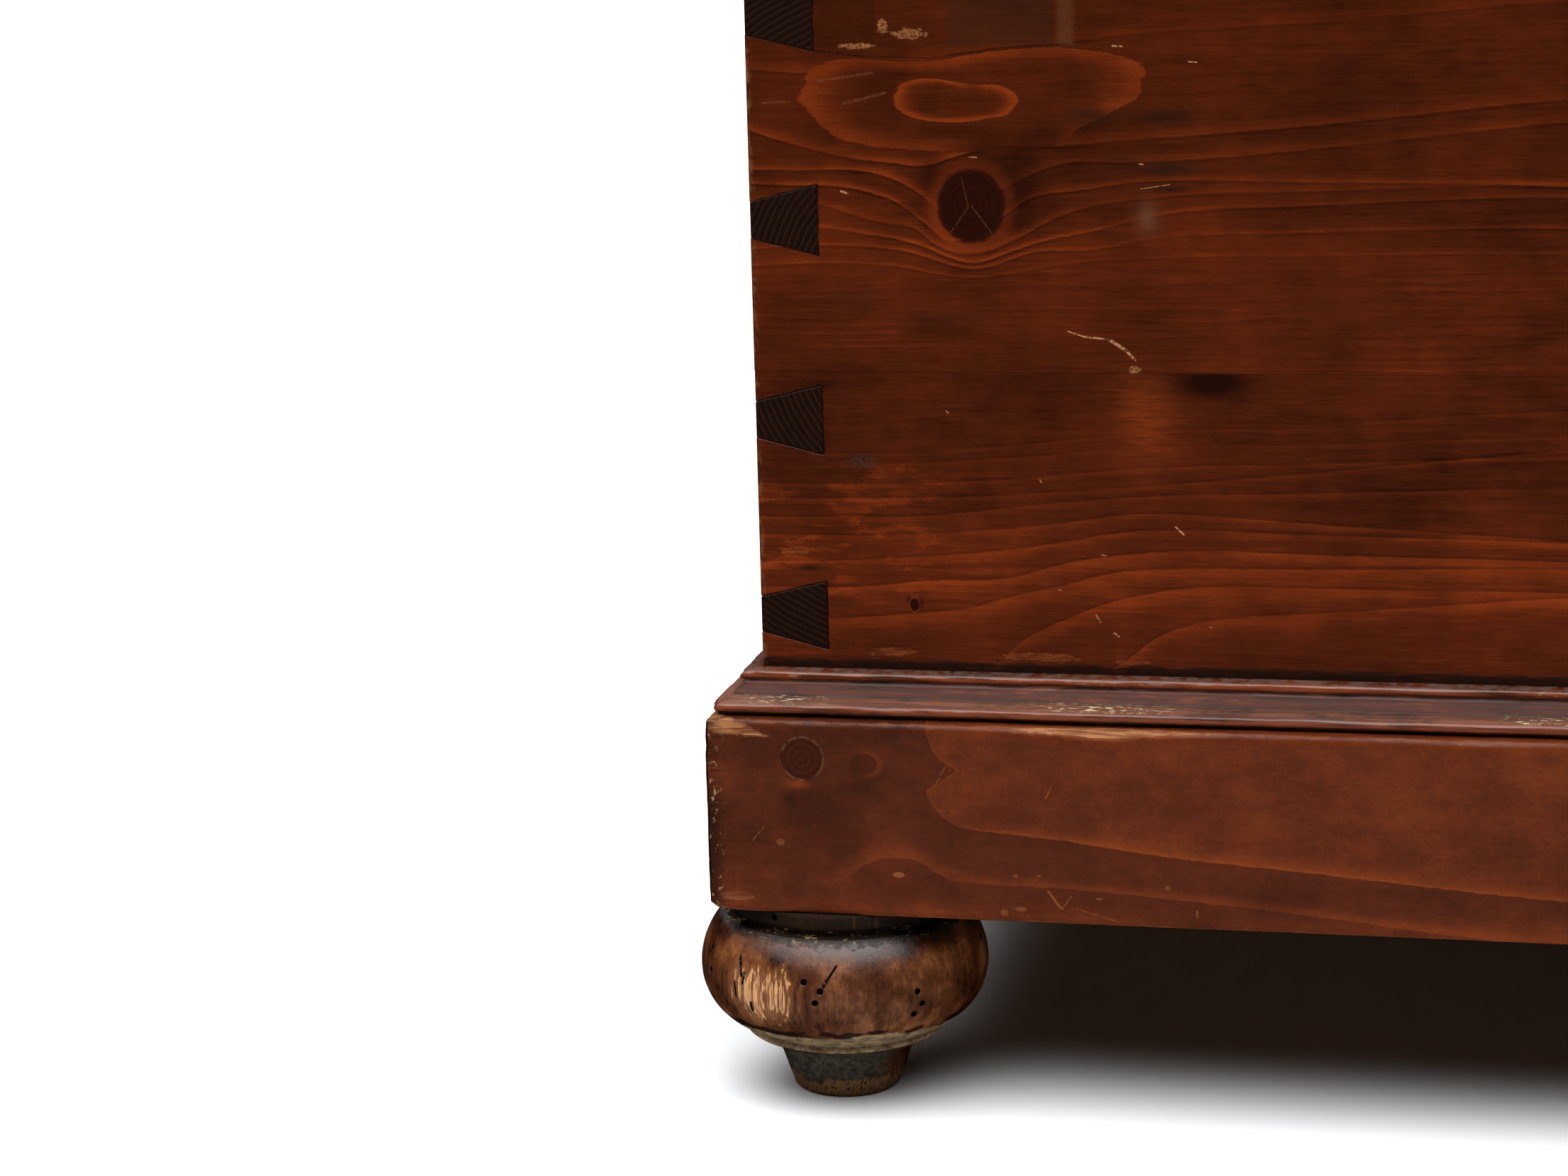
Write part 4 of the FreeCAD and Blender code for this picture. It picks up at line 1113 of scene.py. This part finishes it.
def rounded(a, b, radius):
    """Moves a point at depths a and b under two faces onto an arris of this radius.

    Returns the new depths and how much was cut off."""
    if max(a, b) >= radius or math.hypot(radius - a, radius - b) <= radius:
        return a, b, 0.0
    length = math.hypot(radius - a, radius - b)
    share = radius / length
    return radius - (radius - a) * share, radius - (radius - b) * share, length - radius


def rounded_arris(ox, oy, gap, radius):
    """Rounds the plinth's face into its top or underside, which is a gap away."""
    depth, gap, cut = rounded(PLINTH_OUT - max(ox, oy), gap, radius)
    if cut:
        face = PLINTH_OUT - depth
        if ox >= oy:
            ox = face
        if oy >= ox or oy > face:
            oy = min(oy, face)
    return ox, oy, gap, cut


def plinth_shape(x, y, out, height):
    """Rounds the plinth's corner and arrises unevenly, and says where it is worn."""
    ox = max(-x, x - CASE_X)
    oy = -y
    knocked = smooth_noise((x * 0.05, y * 0.05, height * 0.06), 3.1)
    fine = smooth_noise((x * 0.35, y * 0.35, height * 0.35), 8.4)
    wear = 0.0
    if max(ox, oy) > 9:
        radius = 1.9 + 1.6 * max(0.0, knocked + 0.1) + 1.6 * math.exp(-((PLINTH_TOP - height) / 7) ** 2)
        radius = max(1.2, radius + 0.7 * fine)
        depth_x, depth_y, cut = rounded(PLINTH_OUT - ox, PLINTH_OUT - oy, radius)
        if cut:
            ox, oy, wear = PLINTH_OUT - depth_x, PLINTH_OUT - depth_y, cut * 0.9
    rubbed = math.exp(-((x - 112) / 26) ** 2)
    radius = 3.6 + 1.6 * max(0.0, smooth_noise((x * 0.03, y * 0.03, 0), 5.5)) + 0.5 * fine + 1.6 * rubbed
    ox, oy, gap, cut = rounded_arris(ox, oy, PLINTH_TOP - height, radius)
    height = PLINTH_TOP - gap
    wear = max(wear, cut * (0.5 + 1.2 * rubbed))
    radius = 1.6 + 0.8 * max(0.0, smooth_noise((x * 0.06, y * 0.06, 4), 2.2)) + 0.3 * fine
    to_corner = math.hypot(max(0.0, min(x, CASE_X - x) + PLINTH_OUT), y + PLINTH_OUT)
    radius += 3.4 * math.exp(-(to_corner / 6) ** 2)
    ox, oy, gap, cut = rounded_arris(ox, oy, height - PLINTH_LOW, radius)
    height = PLINTH_LOW + gap
    if ox > 0:
        x = -ox if x < CASE_X / 2 else CASE_X + ox
    return x, -oy if oy > 0 else y, height, max(wear, cut)


plinth_profile = [(0.0, PLINTH_LOW), (0.0, PLINTH_TOP)]
plinth_profile += [(out, PLINTH_TOP) for out in (5.0, 9.0, 11.0, 12.0, 13.0, 13.8, 14.6, 15.4, 16.0)]
plinth_profile += [(PLINTH_OUT, up) for up in (
    135.0, 134.4, 133.6, 132.8, 132.0, 131.2, 130.4, 129.4, 128.2, 127.0, *np.arange(125.0, 74.0, -3.0),
    73.0, 72.2, 71.4, 70.8, 70.3, 70.0,
)]
plinth_profile += [(out, PLINTH_LOW) for out in (16.0, 15.4, 14.6, 13.6, 9.0)]

face_figure = {"level": plinth_level, "base": 0.37, "streaks": 0.22, "mottle": 0.42}
for side, along, pith, spacing, more in (
    ("front", "x", (60.0, 100.0), 5.0, face_figure),
    ("left", "y", (-5.0, 60.0), 6.5, {"seed": 120.0}),
    ("right", "y", (1106.0, 150.0), 6.5, {"seed": 160.0}),
):
    material = wood_board(
        f"plinth_{side}_pine", along, pith, spacing, extra=plinth_details, inner=False,
        stain=PLINTH_STAIN, **more,
    )
    vertices, faces, wear = swept(side, plinth_profile, plinth_shape)
    mesh_piece(
        f"worn_plinth_{side}", vertices, faces, material, f"plinth_{side}", {"wear": wear},
    )


MOULDING_OUT, MOULDING_RISE = 14.6, 13.4


def moulding_profile():
    """Bead, wash, cove and rounded top nose, from the bottom up, as (outward, height) in mm."""
    def at(*shares):
        return [(out * MOULDING_OUT, up * MOULDING_RISE) for out, up in shares]

    bead = round_corner(*at((0.885, 0.205)), 0.105 * MOULDING_OUT, -70, 70, 8)
    nose = round_corner(*at((0.27, 0.87)), 0.095 * MOULDING_OUT, -60, 80, 8)
    return [
        (0.0, 0.0), (6.0, 0.0), *at((0.8, 0.0), (0.86, 0.03), (0.875, 0.1)), *bead,
        *at((0.86, 0.335), (0.74, 0.385), (0.62, 0.425), (0.575, 0.42), (0.56, 0.445), (0.555, 0.485)),
        *at((0.5, 0.505), (0.44, 0.545), (0.39, 0.6), (0.36, 0.655), (0.34, 0.71), (0.29, 0.715)),
        *at((0.285, 0.765)), *nose, *at((0.2, 0.972), (0.08, 0.992), (0.0, 1.0)),
    ]


def moulding_shape(x, y, out, height):
    """Lets the moulding's face wave a little, with the bead worn away at the corners."""
    worn = smooth_noise((x * 0.045, y * 0.045, height * 0.3), 6.6)
    fine = smooth_noise((x * 0.22, y * 0.22, height * 0.5), 1.9)
    amount = 0.48 * worn + 0.32 * fine
    free = min(1.0, out / 2.5)
    z = PLINTH_TOP + height - 0.25 * free * abs(amount) * (height > 1.0)
    shift = free * max(0.0, 0.12 + amount)
    ox, oy = max(-x, x - CASE_X), max(0.0, -y)
    to_corner = abs(out - min(ox, oy))
    if 0.8 < height < 5.0:
        shift += 1.1 * math.exp(-(to_corner / 3.5) ** 2) * (0.7 + 0.6 * worn)
    elif height > 9.5 and ox > 0.5 and ox >= oy:
        shift -= 1.1
    if y < 0:
        y = min(0.0, y + shift)
    if ox > 0:
        x += shift if x < 0 else -shift
    return x, y, z, 0.0


def moulding_material(name, along):
    """Red-brown stain, rubbed on nose and bead, with grime in the hollows, painted shade at its foot and
    pale flecks.
    """
    graph = Graph(name)
    body = millimetres(graph)
    grain = swapped(body, along)
    x, y, z = body.split()
    fibre = fibres(grain)
    height_up = z - PLINTH_TOP
    colour = mix(fibre.step(0.3, 0.7), shade(52, 22, 12), shade(106, 46, 24))
    streak = grain.place(scale=(0.02, 0.9, 0.9)).noise(1.0, 4.0, 0.6)
    top_nose = between(height_up, 10.9, 12.7, 0.6)
    bead = between(height_up, 1.9, 4.3, 0.5)
    wash = between(height_up, 4.2, 6.0, 0.3)
    rub = biggest(top_nose, bead) * streak.step(0.34, 0.56)
    colour = mix(rub * 0.6, colour, shade(150, 74, 42))
    colour = mix(wash * streak.step(0.4, 0.6, 0.15, 0.8), colour, shade(132, 80, 56))
    cloud = body.place(scale=(0.035, 0.035, 0.2)).noise(1.0, 4.0, 0.65)
    colour = mix(cloud.step(0.54, 0.68, 0.0, 0.6), colour, shade(138, 68, 34))
    colour = mix(cloud.step(0.46, 0.34, 0.0, 0.65), colour, shade(44, 21, 13))
    dusty = between(height_up, 12.8, 14.5, 0.25) * grain.noise(0.25, 3.0, 0.6).step(0.35, 0.6)
    colour = mix(dusty * 0.6, colour, shade(88, 66, 54))
    elsewhere = body.noise(0.012, 1.0).step(0.53, 0.62) * x.step(170.0, 200.0)
    cluster = biggest(body.hill((8, 140), (12, 60)), body.hill((112, 140), (18, 60)), elsewhere)
    flecks = grain.place(scale=(0.3, 1.3, 1.3)).noise(1.0, 4.0, 0.65).step(0.53, 0.6) * biggest(
        wash * cluster, top_nose * (cluster * 0.2),
    )
    colour = mix(flecks, colour, shade(206, 182, 142))
    hollow = between(height_up, 5.7, 9.4, 0.8)
    colour = mix(hollow * streak.step(0.6, 0.42, 0.0, 0.4), colour, shade(46, 22, 13))
    # The thin line in the groove above the cove is grime; the band at the moulding's foot, in the gap over
    # the plinth, is painted shade.
    thread = between(height_up, 5.55, 6.2, 0.18) * streak.step(0.38, 0.62, 0.15, 0.85)
    groove_grime_and_foot_shade = biggest(thread, between(height_up, -0.2, 1.1, 0.3))
    colour = mix(groove_grime_and_foot_shade * 0.8, colour, GRIME_AND_SHADE)
    rough = fibre.line(0.2, 0.8, 0.24, 0.38) + biggest(dusty, wash, hollow) * 0.45
    rough -= top_nose * 0.09
    height = fibre * 0.6 + flecks * -0.8
    return graph.shader(colour, rough, height, 0.00012, gloss=0.48)


for side, along in (("front", "x"), ("left", "y"), ("right", "y")):
    vertices, faces, wear = swept(side, moulding_profile(), moulding_shape)
    material = moulding_material(f"base_moulding_pine_{side}", along)
    mesh_piece(
        f"worn_moulding_{side}", vertices, faces, material, f"base_moulding_{side}", {},
    )


# Feet

FOOT_BELLY = 48.18
FOOT_SEGMENTS = 240
# The grime mark darkens the collar, its groove and the top of the bun: grime, and painted shade under the
# plinth.
FOOT_MARKS = ("wear", "grime", "rubbed", "tide", "toe", "sole")


def foot_profile():
    """Half outline of the turned foot, from its sole to its shoulder, as (radius, height) in mm."""
    low, high = 23.8, 61.5
    belly = low + 0.523 * (high - low)

    def bow(end_radius, end_level, steps):
        rise = end_level - belly
        drop = FOOT_BELLY - end_radius
        radius = (rise ** 2 + drop ** 2) / (2 * drop)
        turn = math.degrees(math.asin(rise / radius))
        return round_corner((FOOT_BELLY - radius, belly), radius, 0, turn, steps)

    return [
        (6.0, 0.0), (12.0, 0.0), (15.5, 0.1), (17.0, 0.4), (17.8, 1.0), (18.4, 2.2), (19.1, 4.0),
        (19.8, 6.0), (20.4, 8.0), (21.0, 10.0), (21.7, 12.0), (22.7, 14.0), (24.2, 16.0), (26.2, 17.8),
        (28.8, 19.3), (31.2, 20.2), (32.7, 20.7), (33.4, 21.3), (33.8, 22.1), (33.6, 22.9), (33.1, 23.3),
        (33.2, 23.6),
        *bow(33.4, low, 28)[::-1], *bow(41.0, high, 20)[1:],
        (39.6, 62.1), (38.0, 62.6), (37.0, 63.1), (36.6, 63.7), (36.8, 64.2), (37.8, 64.6), (38.8, 65.0),
        (39.3, 65.7), (39.4, 67.0), (39.4, 69.0), (39.4, 70.0), (30.0, 70.0), (18.0, 70.0), (12.0, 70.0),
    ]


BEETLE_HOLES = [
    (16.7, -26.7, 50.1), (20.5, -27.8, 43.5), (22.2, -27.4, 47.4), (52.2, -15.9, 45.0), (53.4, -14.5, 40.6),
    (50.8, -15.8, 37.2), (-19.2, -3.5, 53.2), (-19.2, -6.7, 46.3), (4.9, -15.7, 68.1), (67.0, 20.2, 53.1),
]
FOOT_GOUGES = [
    ((-6.5, 54.5), (-5.9, 48.6), 0.8), ((-4.6, 50.0), (-5.4, 46.2), 0.7), ((-2.4, 40.6), (-2.0, 37.6), 0.8),
    ((22.2, 47.4), (24.2, 50.6), 1.0), ((24.2, 50.6), (27.2, 55.3), 0.6), ((-8.6, 46.0), (-8.0, 41.0), 0.5),
]


def foot_material(name, gloss):
    """Turned pine with grime and painted shade, a bare patch, a rubbed ring, a tide line, beetle holes
    painted dark as shade and a worn sole.
    """
    graph = Graph(name)
    body = millimetres(graph)
    local = body.relative_to((20.5, 20.5, 0))
    x, y, z = body.split()
    upright = swapped(local, "z")
    fibre = fibres(upright)
    cloud = local.noise(0.06, 4.0, 0.62)
    # Darker low on the bun's belly and under its shoulder: painted shade.
    bun_shade = z.step(33.0, 26.0, 0.0, -0.16) + z.step(54.0, 60.0, 0.0, -0.22)
    colour = ((cloud - 0.5) * 1.15 + bun_shade * 0.7 + ((fibre - 0.5) * 0.7 + 0.34)).ramp([
        (0.1, shade(38, 17, 9)), (0.34, shade(94, 48, 20)), (0.6, shade(156, 94, 46)),
    ])
    turned = join(0, 0, z).noise(1.4, 3.0, 0.6)
    colour = mix(turned.step(0.5, 0.7) * 0.18, colour, (0.03, 0.012, 0.006))
    # Collar, groove and top of the bun go near black: grime, and painted shade under the plinth.
    groove = body.attribute("grime")
    grit = local.noise(0.5, 4.0, 0.65)
    collar_grime_and_shade = (groove + (grit - 0.5) * 0.9).step(0.35, 0.75)
    colour = mix(collar_grime_and_shade * 0.92, colour, shade(30, 23, 17))
    caked = local.place(scale=(0.28, 0.28, 1.1)).noise(1.0, 4.0, 0.7)
    cream = caked.step(0.58, 0.64) * between(z, 61.0, 64.6, 0.5)
    colour = mix(cream * 0.7, colour, shade(160, 130, 92))
    worn = body.attribute("wear")
    torn = local.place(scale=(0.62, 0.62, 0.04)).noise(1.0, 4.0, 0.65)
    raw = (worn + (torn - 0.5) * 3.4).step(0.74, 0.92)
    around = (worn + (torn - 0.5) * 1.6).step(0.15, 0.8)
    colour = mix(around * 0.55, colour, shade(152, 90, 44))
    split = local.place(offset=(7, 3, 1), scale=(1.3, 1.3, 0.02)).noise(1.0, 2.0, 0.6)
    colour = mix(raw * 0.9, colour, mix(split.step(0.38, 0.62), shade(120, 56, 24), shade(228, 168, 104)))
    rubbed = body.attribute("rubbed")
    pale = (rubbed + (grit - 0.5) * 0.5).step(0.4, 0.6)
    ring_tint = mix(local.noise(0.3, 3.0, 0.65).step(0.4, 0.62), shade(112, 94, 70), shade(158, 134, 100))
    colour = mix(pale * 0.85, colour, ring_tint)
    line = body.attribute("tide")
    blots = local.place(scale=(0.09, 0.09, 0.16)).noise(1.0, 3.0, 0.6)
    stain = (line + (blots - 0.55) * 3.2).step(0.55, 0.85)
    colour = mix(stain * 0.85, colour, shade(30, 20, 15))
    toe = body.attribute("toe")
    colour = mix(toe.step(0.0, 0.9), colour, mix(grit.step(0.3, 0.7), shade(42, 38, 33), shade(78, 70, 58)))
    sole = body.attribute("sole")
    crack = local.place(scale=(1.6, 1.6, 0.03)).noise(1.0, 2.0, 0.5)
    tan = mix(crack.step(0.57, 0.63), mix(fibre, shade(70, 48, 30), shade(136, 100, 64)), shade(38, 26, 18))
    colour = mix((sole + (grit - 0.5) * 1.2).step(0.3, 0.7), colour, tan)
    near = y.step(22.0, 14.0)
    # Holes and gouges are not cut: their near-black colour and full metal are painted shade for their
    # depth.
    holes = body.strokes(FOOT_GOUGES, 0.8) * near * grit.step(0.36, 0.5, 0.2, 1.0)
    for spot in BEETLE_HOLES:
        gap = body.relative_to(spot).length()
        holes = biggest(holes, gap.step(1.25, 0.85))
    other = local.place(offset=(3, 3, 3), scale=(0.07, 0.07, 0.07)).cells(1.0)
    other = other.step(0.085, 0.06) * biggest(x, y).step(80.0, 100.0)
    holes = biggest(holes, other)
    colour = mix(holes, colour, (0.006, 0.0035, 0.0025))
    rough = cloud.line(0.3, 0.7, 0.26, 0.42) + biggest(raw, collar_grime_and_shade, toe, sole) * 0.35
    rough += holes * 0.6
    height = fibre * 0.5 + raw * (torn * 1.6)
    height += collar_grime_and_shade * (grit * 0.8)
    height -= holes * 3.0
    return graph.shader(colour, rough, height, 0.0003, metal=holes, gloss=gloss)


foot_outline = foot_profile()
foot_finish = foot_material("turned_foot_pine", 0.6)
# The low-gloss copy covers the toe and the collar, whose dark is grime and, at the collar, painted shade.
foot_grime_and_shade = foot_material("turned_foot_grime", 0.08)


def foot_point(angle, radius, z, seed, front):
    """The dented radius at a place on the foot, and its marks in the order of FOOT_MARKS."""
    x, y = math.cos(angle), math.sin(angle)
    r = radius
    if 1.0 < z < 69.5 and radius > 12.5:
        r -= 0.35 * max(0.0, smooth_noise((x * 0.9, y * 0.9, z * 0.03), seed))
        r -= 0.12 * max(0.0, smooth_noise((x * 8, y * 8, z * 0.25), seed + 4))
    away = (angle - front + math.pi) % (2 * math.pi) - math.pi
    bare = math.exp(-((away + 0.63) / 0.30) ** 4 - ((z - 44.0) / 10.0) ** 4)
    if bare > 0.25 and radius > 30:
        r -= 0.35 * (bare - 0.25)
    ring_top = 29.6 + 2.6 * smooth_noise((x * 2, y * 2, 0), seed + 9)
    rubbed = 1.0 if 23.4 < z < ring_top else (0.55 if 20.8 < z <= 23.4 else 0.0)
    brown = min(1.0, max(0.0, (away - 0.35) / 0.5)) if away < 1.6 else 0.0
    edge = 6.6 + 2.2 * smooth_noise((x * 2.4, y * 2.4, 1), seed + 2)
    return r, (
        bare if radius > 34 else 0.0,
        # grime, and painted shade under the plinth
        1.0 if z > 64 else math.exp(-((z - 64.0) / 4.2) ** 2),
        rubbed,
        math.exp(-((z - ring_top - 1.2) / 1.9) ** 2) if z > 24 else 0.0,
        1.0 - 0.75 * brown if 5.0 < z < 20.9 else 0.0,
        1.0 if z < edge else 0.0,
    )


def build_foot(name, centre, seed, front, replaced):
    """Turns one foot, with dents and wear, and a square tenon on top."""
    vertices, marks = [], []

    def put(x, y, z, numbers):
        vertices.append(((centre[0] + x) * MM, (centre[1] + y) * MM, z * MM))
        marks.append(numbers)

    for radius, z in foot_outline:
        for k in range(FOOT_SEGMENTS):
            angle = 2 * math.pi * k / FOOT_SEGMENTS
            r, numbers = foot_point(angle, radius, z, seed, front)
            put(r * math.cos(angle), r * math.sin(angle), z, numbers)
    turned = len(vertices)
    for z in (69.0, 98.0):
        for x, y in ((-12.0, -12.0), (12.0, -12.0), (12.0, 12.0), (-12.0, 12.0)):
            put(x, y, z, (0.0,) * len(FOOT_MARKS))
    faces = [tuple(range(FOOT_SEGMENTS))[::-1], *tube_faces(FOOT_SEGMENTS, len(foot_outline))]
    faces.append(tuple(range(turned - FOOT_SEGMENTS, turned)))
    for corners in ((3, 2, 1, 0), (4, 5, 6, 7), (0, 1, 5, 4), (1, 2, 6, 5), (2, 3, 7, 6), (3, 0, 4, 7)):
        faces.append(tuple(turned + corner for corner in corners))
    values = dict(zip(FOOT_MARKS, zip(*marks)))
    piece = mesh_piece(name, vertices, faces, foot_finish, replaced, values)
    piece.data.materials.append(foot_grime_and_shade)
    for face in piece.data.polygons:
        if not 22.9 * MM < face.center.z < 62.2 * MM:
            face.material_index = 1


foot_centres = {
    "front_left": (-529.5, -221.6), "front_right": (529.5, -221.6),
    "back_left": (-529.5, 220.9), "back_right": (529.5, 220.9),
}
# The marks of the front left foot face the camera, and each next foot is turned further round.
facing = math.atan2(-1318.2 + 221.6, -294.1 + 529.5)
for number, (place, centre) in enumerate(foot_centres.items()):
    replaced = "feet_front" if "front" in place else "feet_back"
    build_foot(f"turned_foot_{place}", centre, 3.0 + 7.7 * number, facing + 1.9 * number, replaced)


# Stage, light and camera

SKY = 6.0

floor_mesh = bpy.data.meshes.new("floor")
floor_mesh.from_pydata([(-30, -30, 0), (30, -30, 0), (30, 30, 0), (-30, 30, 0)], [], [(0, 1, 2, 3)])
floor = bpy.data.objects.new("floor", floor_mesh)
bpy.context.scene.collection.objects.link(floor)
floor_mesh.materials.append(Graph("pale_floor").shader((0.93, 0.93, 0.935), 0.9, gloss=0.0))
floor.visible_glossy = False

studio = Graph("studio", world=True)
bpy.context.scene.world = studio.block
x, y, z = studio.generated.split()
high_up = z.step(math.sin(math.radians(35)), math.sin(math.radians(55)), 0.0, SKY)
sky = high_up * y.step(0.3, -0.5, 0.4, 1.0)
light = sky.made("Background", ((0.97, 0.985, 1.0), sky))
backdrop = sky.made("Background", ((1.0, 1.0, 1.0),))
to_camera = sky.made("LightPath", (), "Is Camera Ray")
choice = sky.made("MixShader", (to_camera, light, backdrop))
studio.node("OutputWorld", (choice,))

# The camera was solved from the photograph: its focal length in pixels, and its turns in radians.
FOCAL, YAW, PITCH, ROLL = 4931.124, 0.226674, 0.213837, 0.027952
PHOTO_WIDTH, SENSOR = 2212, 36.0
forward = Vector((-math.sin(YAW) * math.cos(PITCH), math.cos(YAW) * math.cos(PITCH), -math.sin(PITCH)))
right = Vector((math.cos(YAW), math.sin(YAW), 0))
down = forward.cross(right)
screen_right = math.cos(ROLL) * right + math.sin(ROLL) * down
screen_down = -math.sin(ROLL) * right + math.cos(ROLL) * down
camera_data = bpy.data.cameras.new("camera")
camera_data.sensor_width = SENSOR
camera_data.lens = FOCAL * SENSOR / PHOTO_WIDTH
camera_data.clip_start = 0.05
camera_data.clip_end = 100
camera = bpy.data.objects.new("camera", camera_data)
bpy.context.scene.collection.objects.link(camera)
turn = Matrix((screen_right, -screen_down, -forward)).transposed()
camera.matrix_world = Matrix.Translation((-0.294076, -1.318187, 0.414383)) @ turn.to_4x4()
bpy.context.scene.camera = camera

view = bpy.context.scene.view_settings
view.view_transform = "Standard"
view.look = "None"
view.exposure = 0.0
view.gamma = 1.0
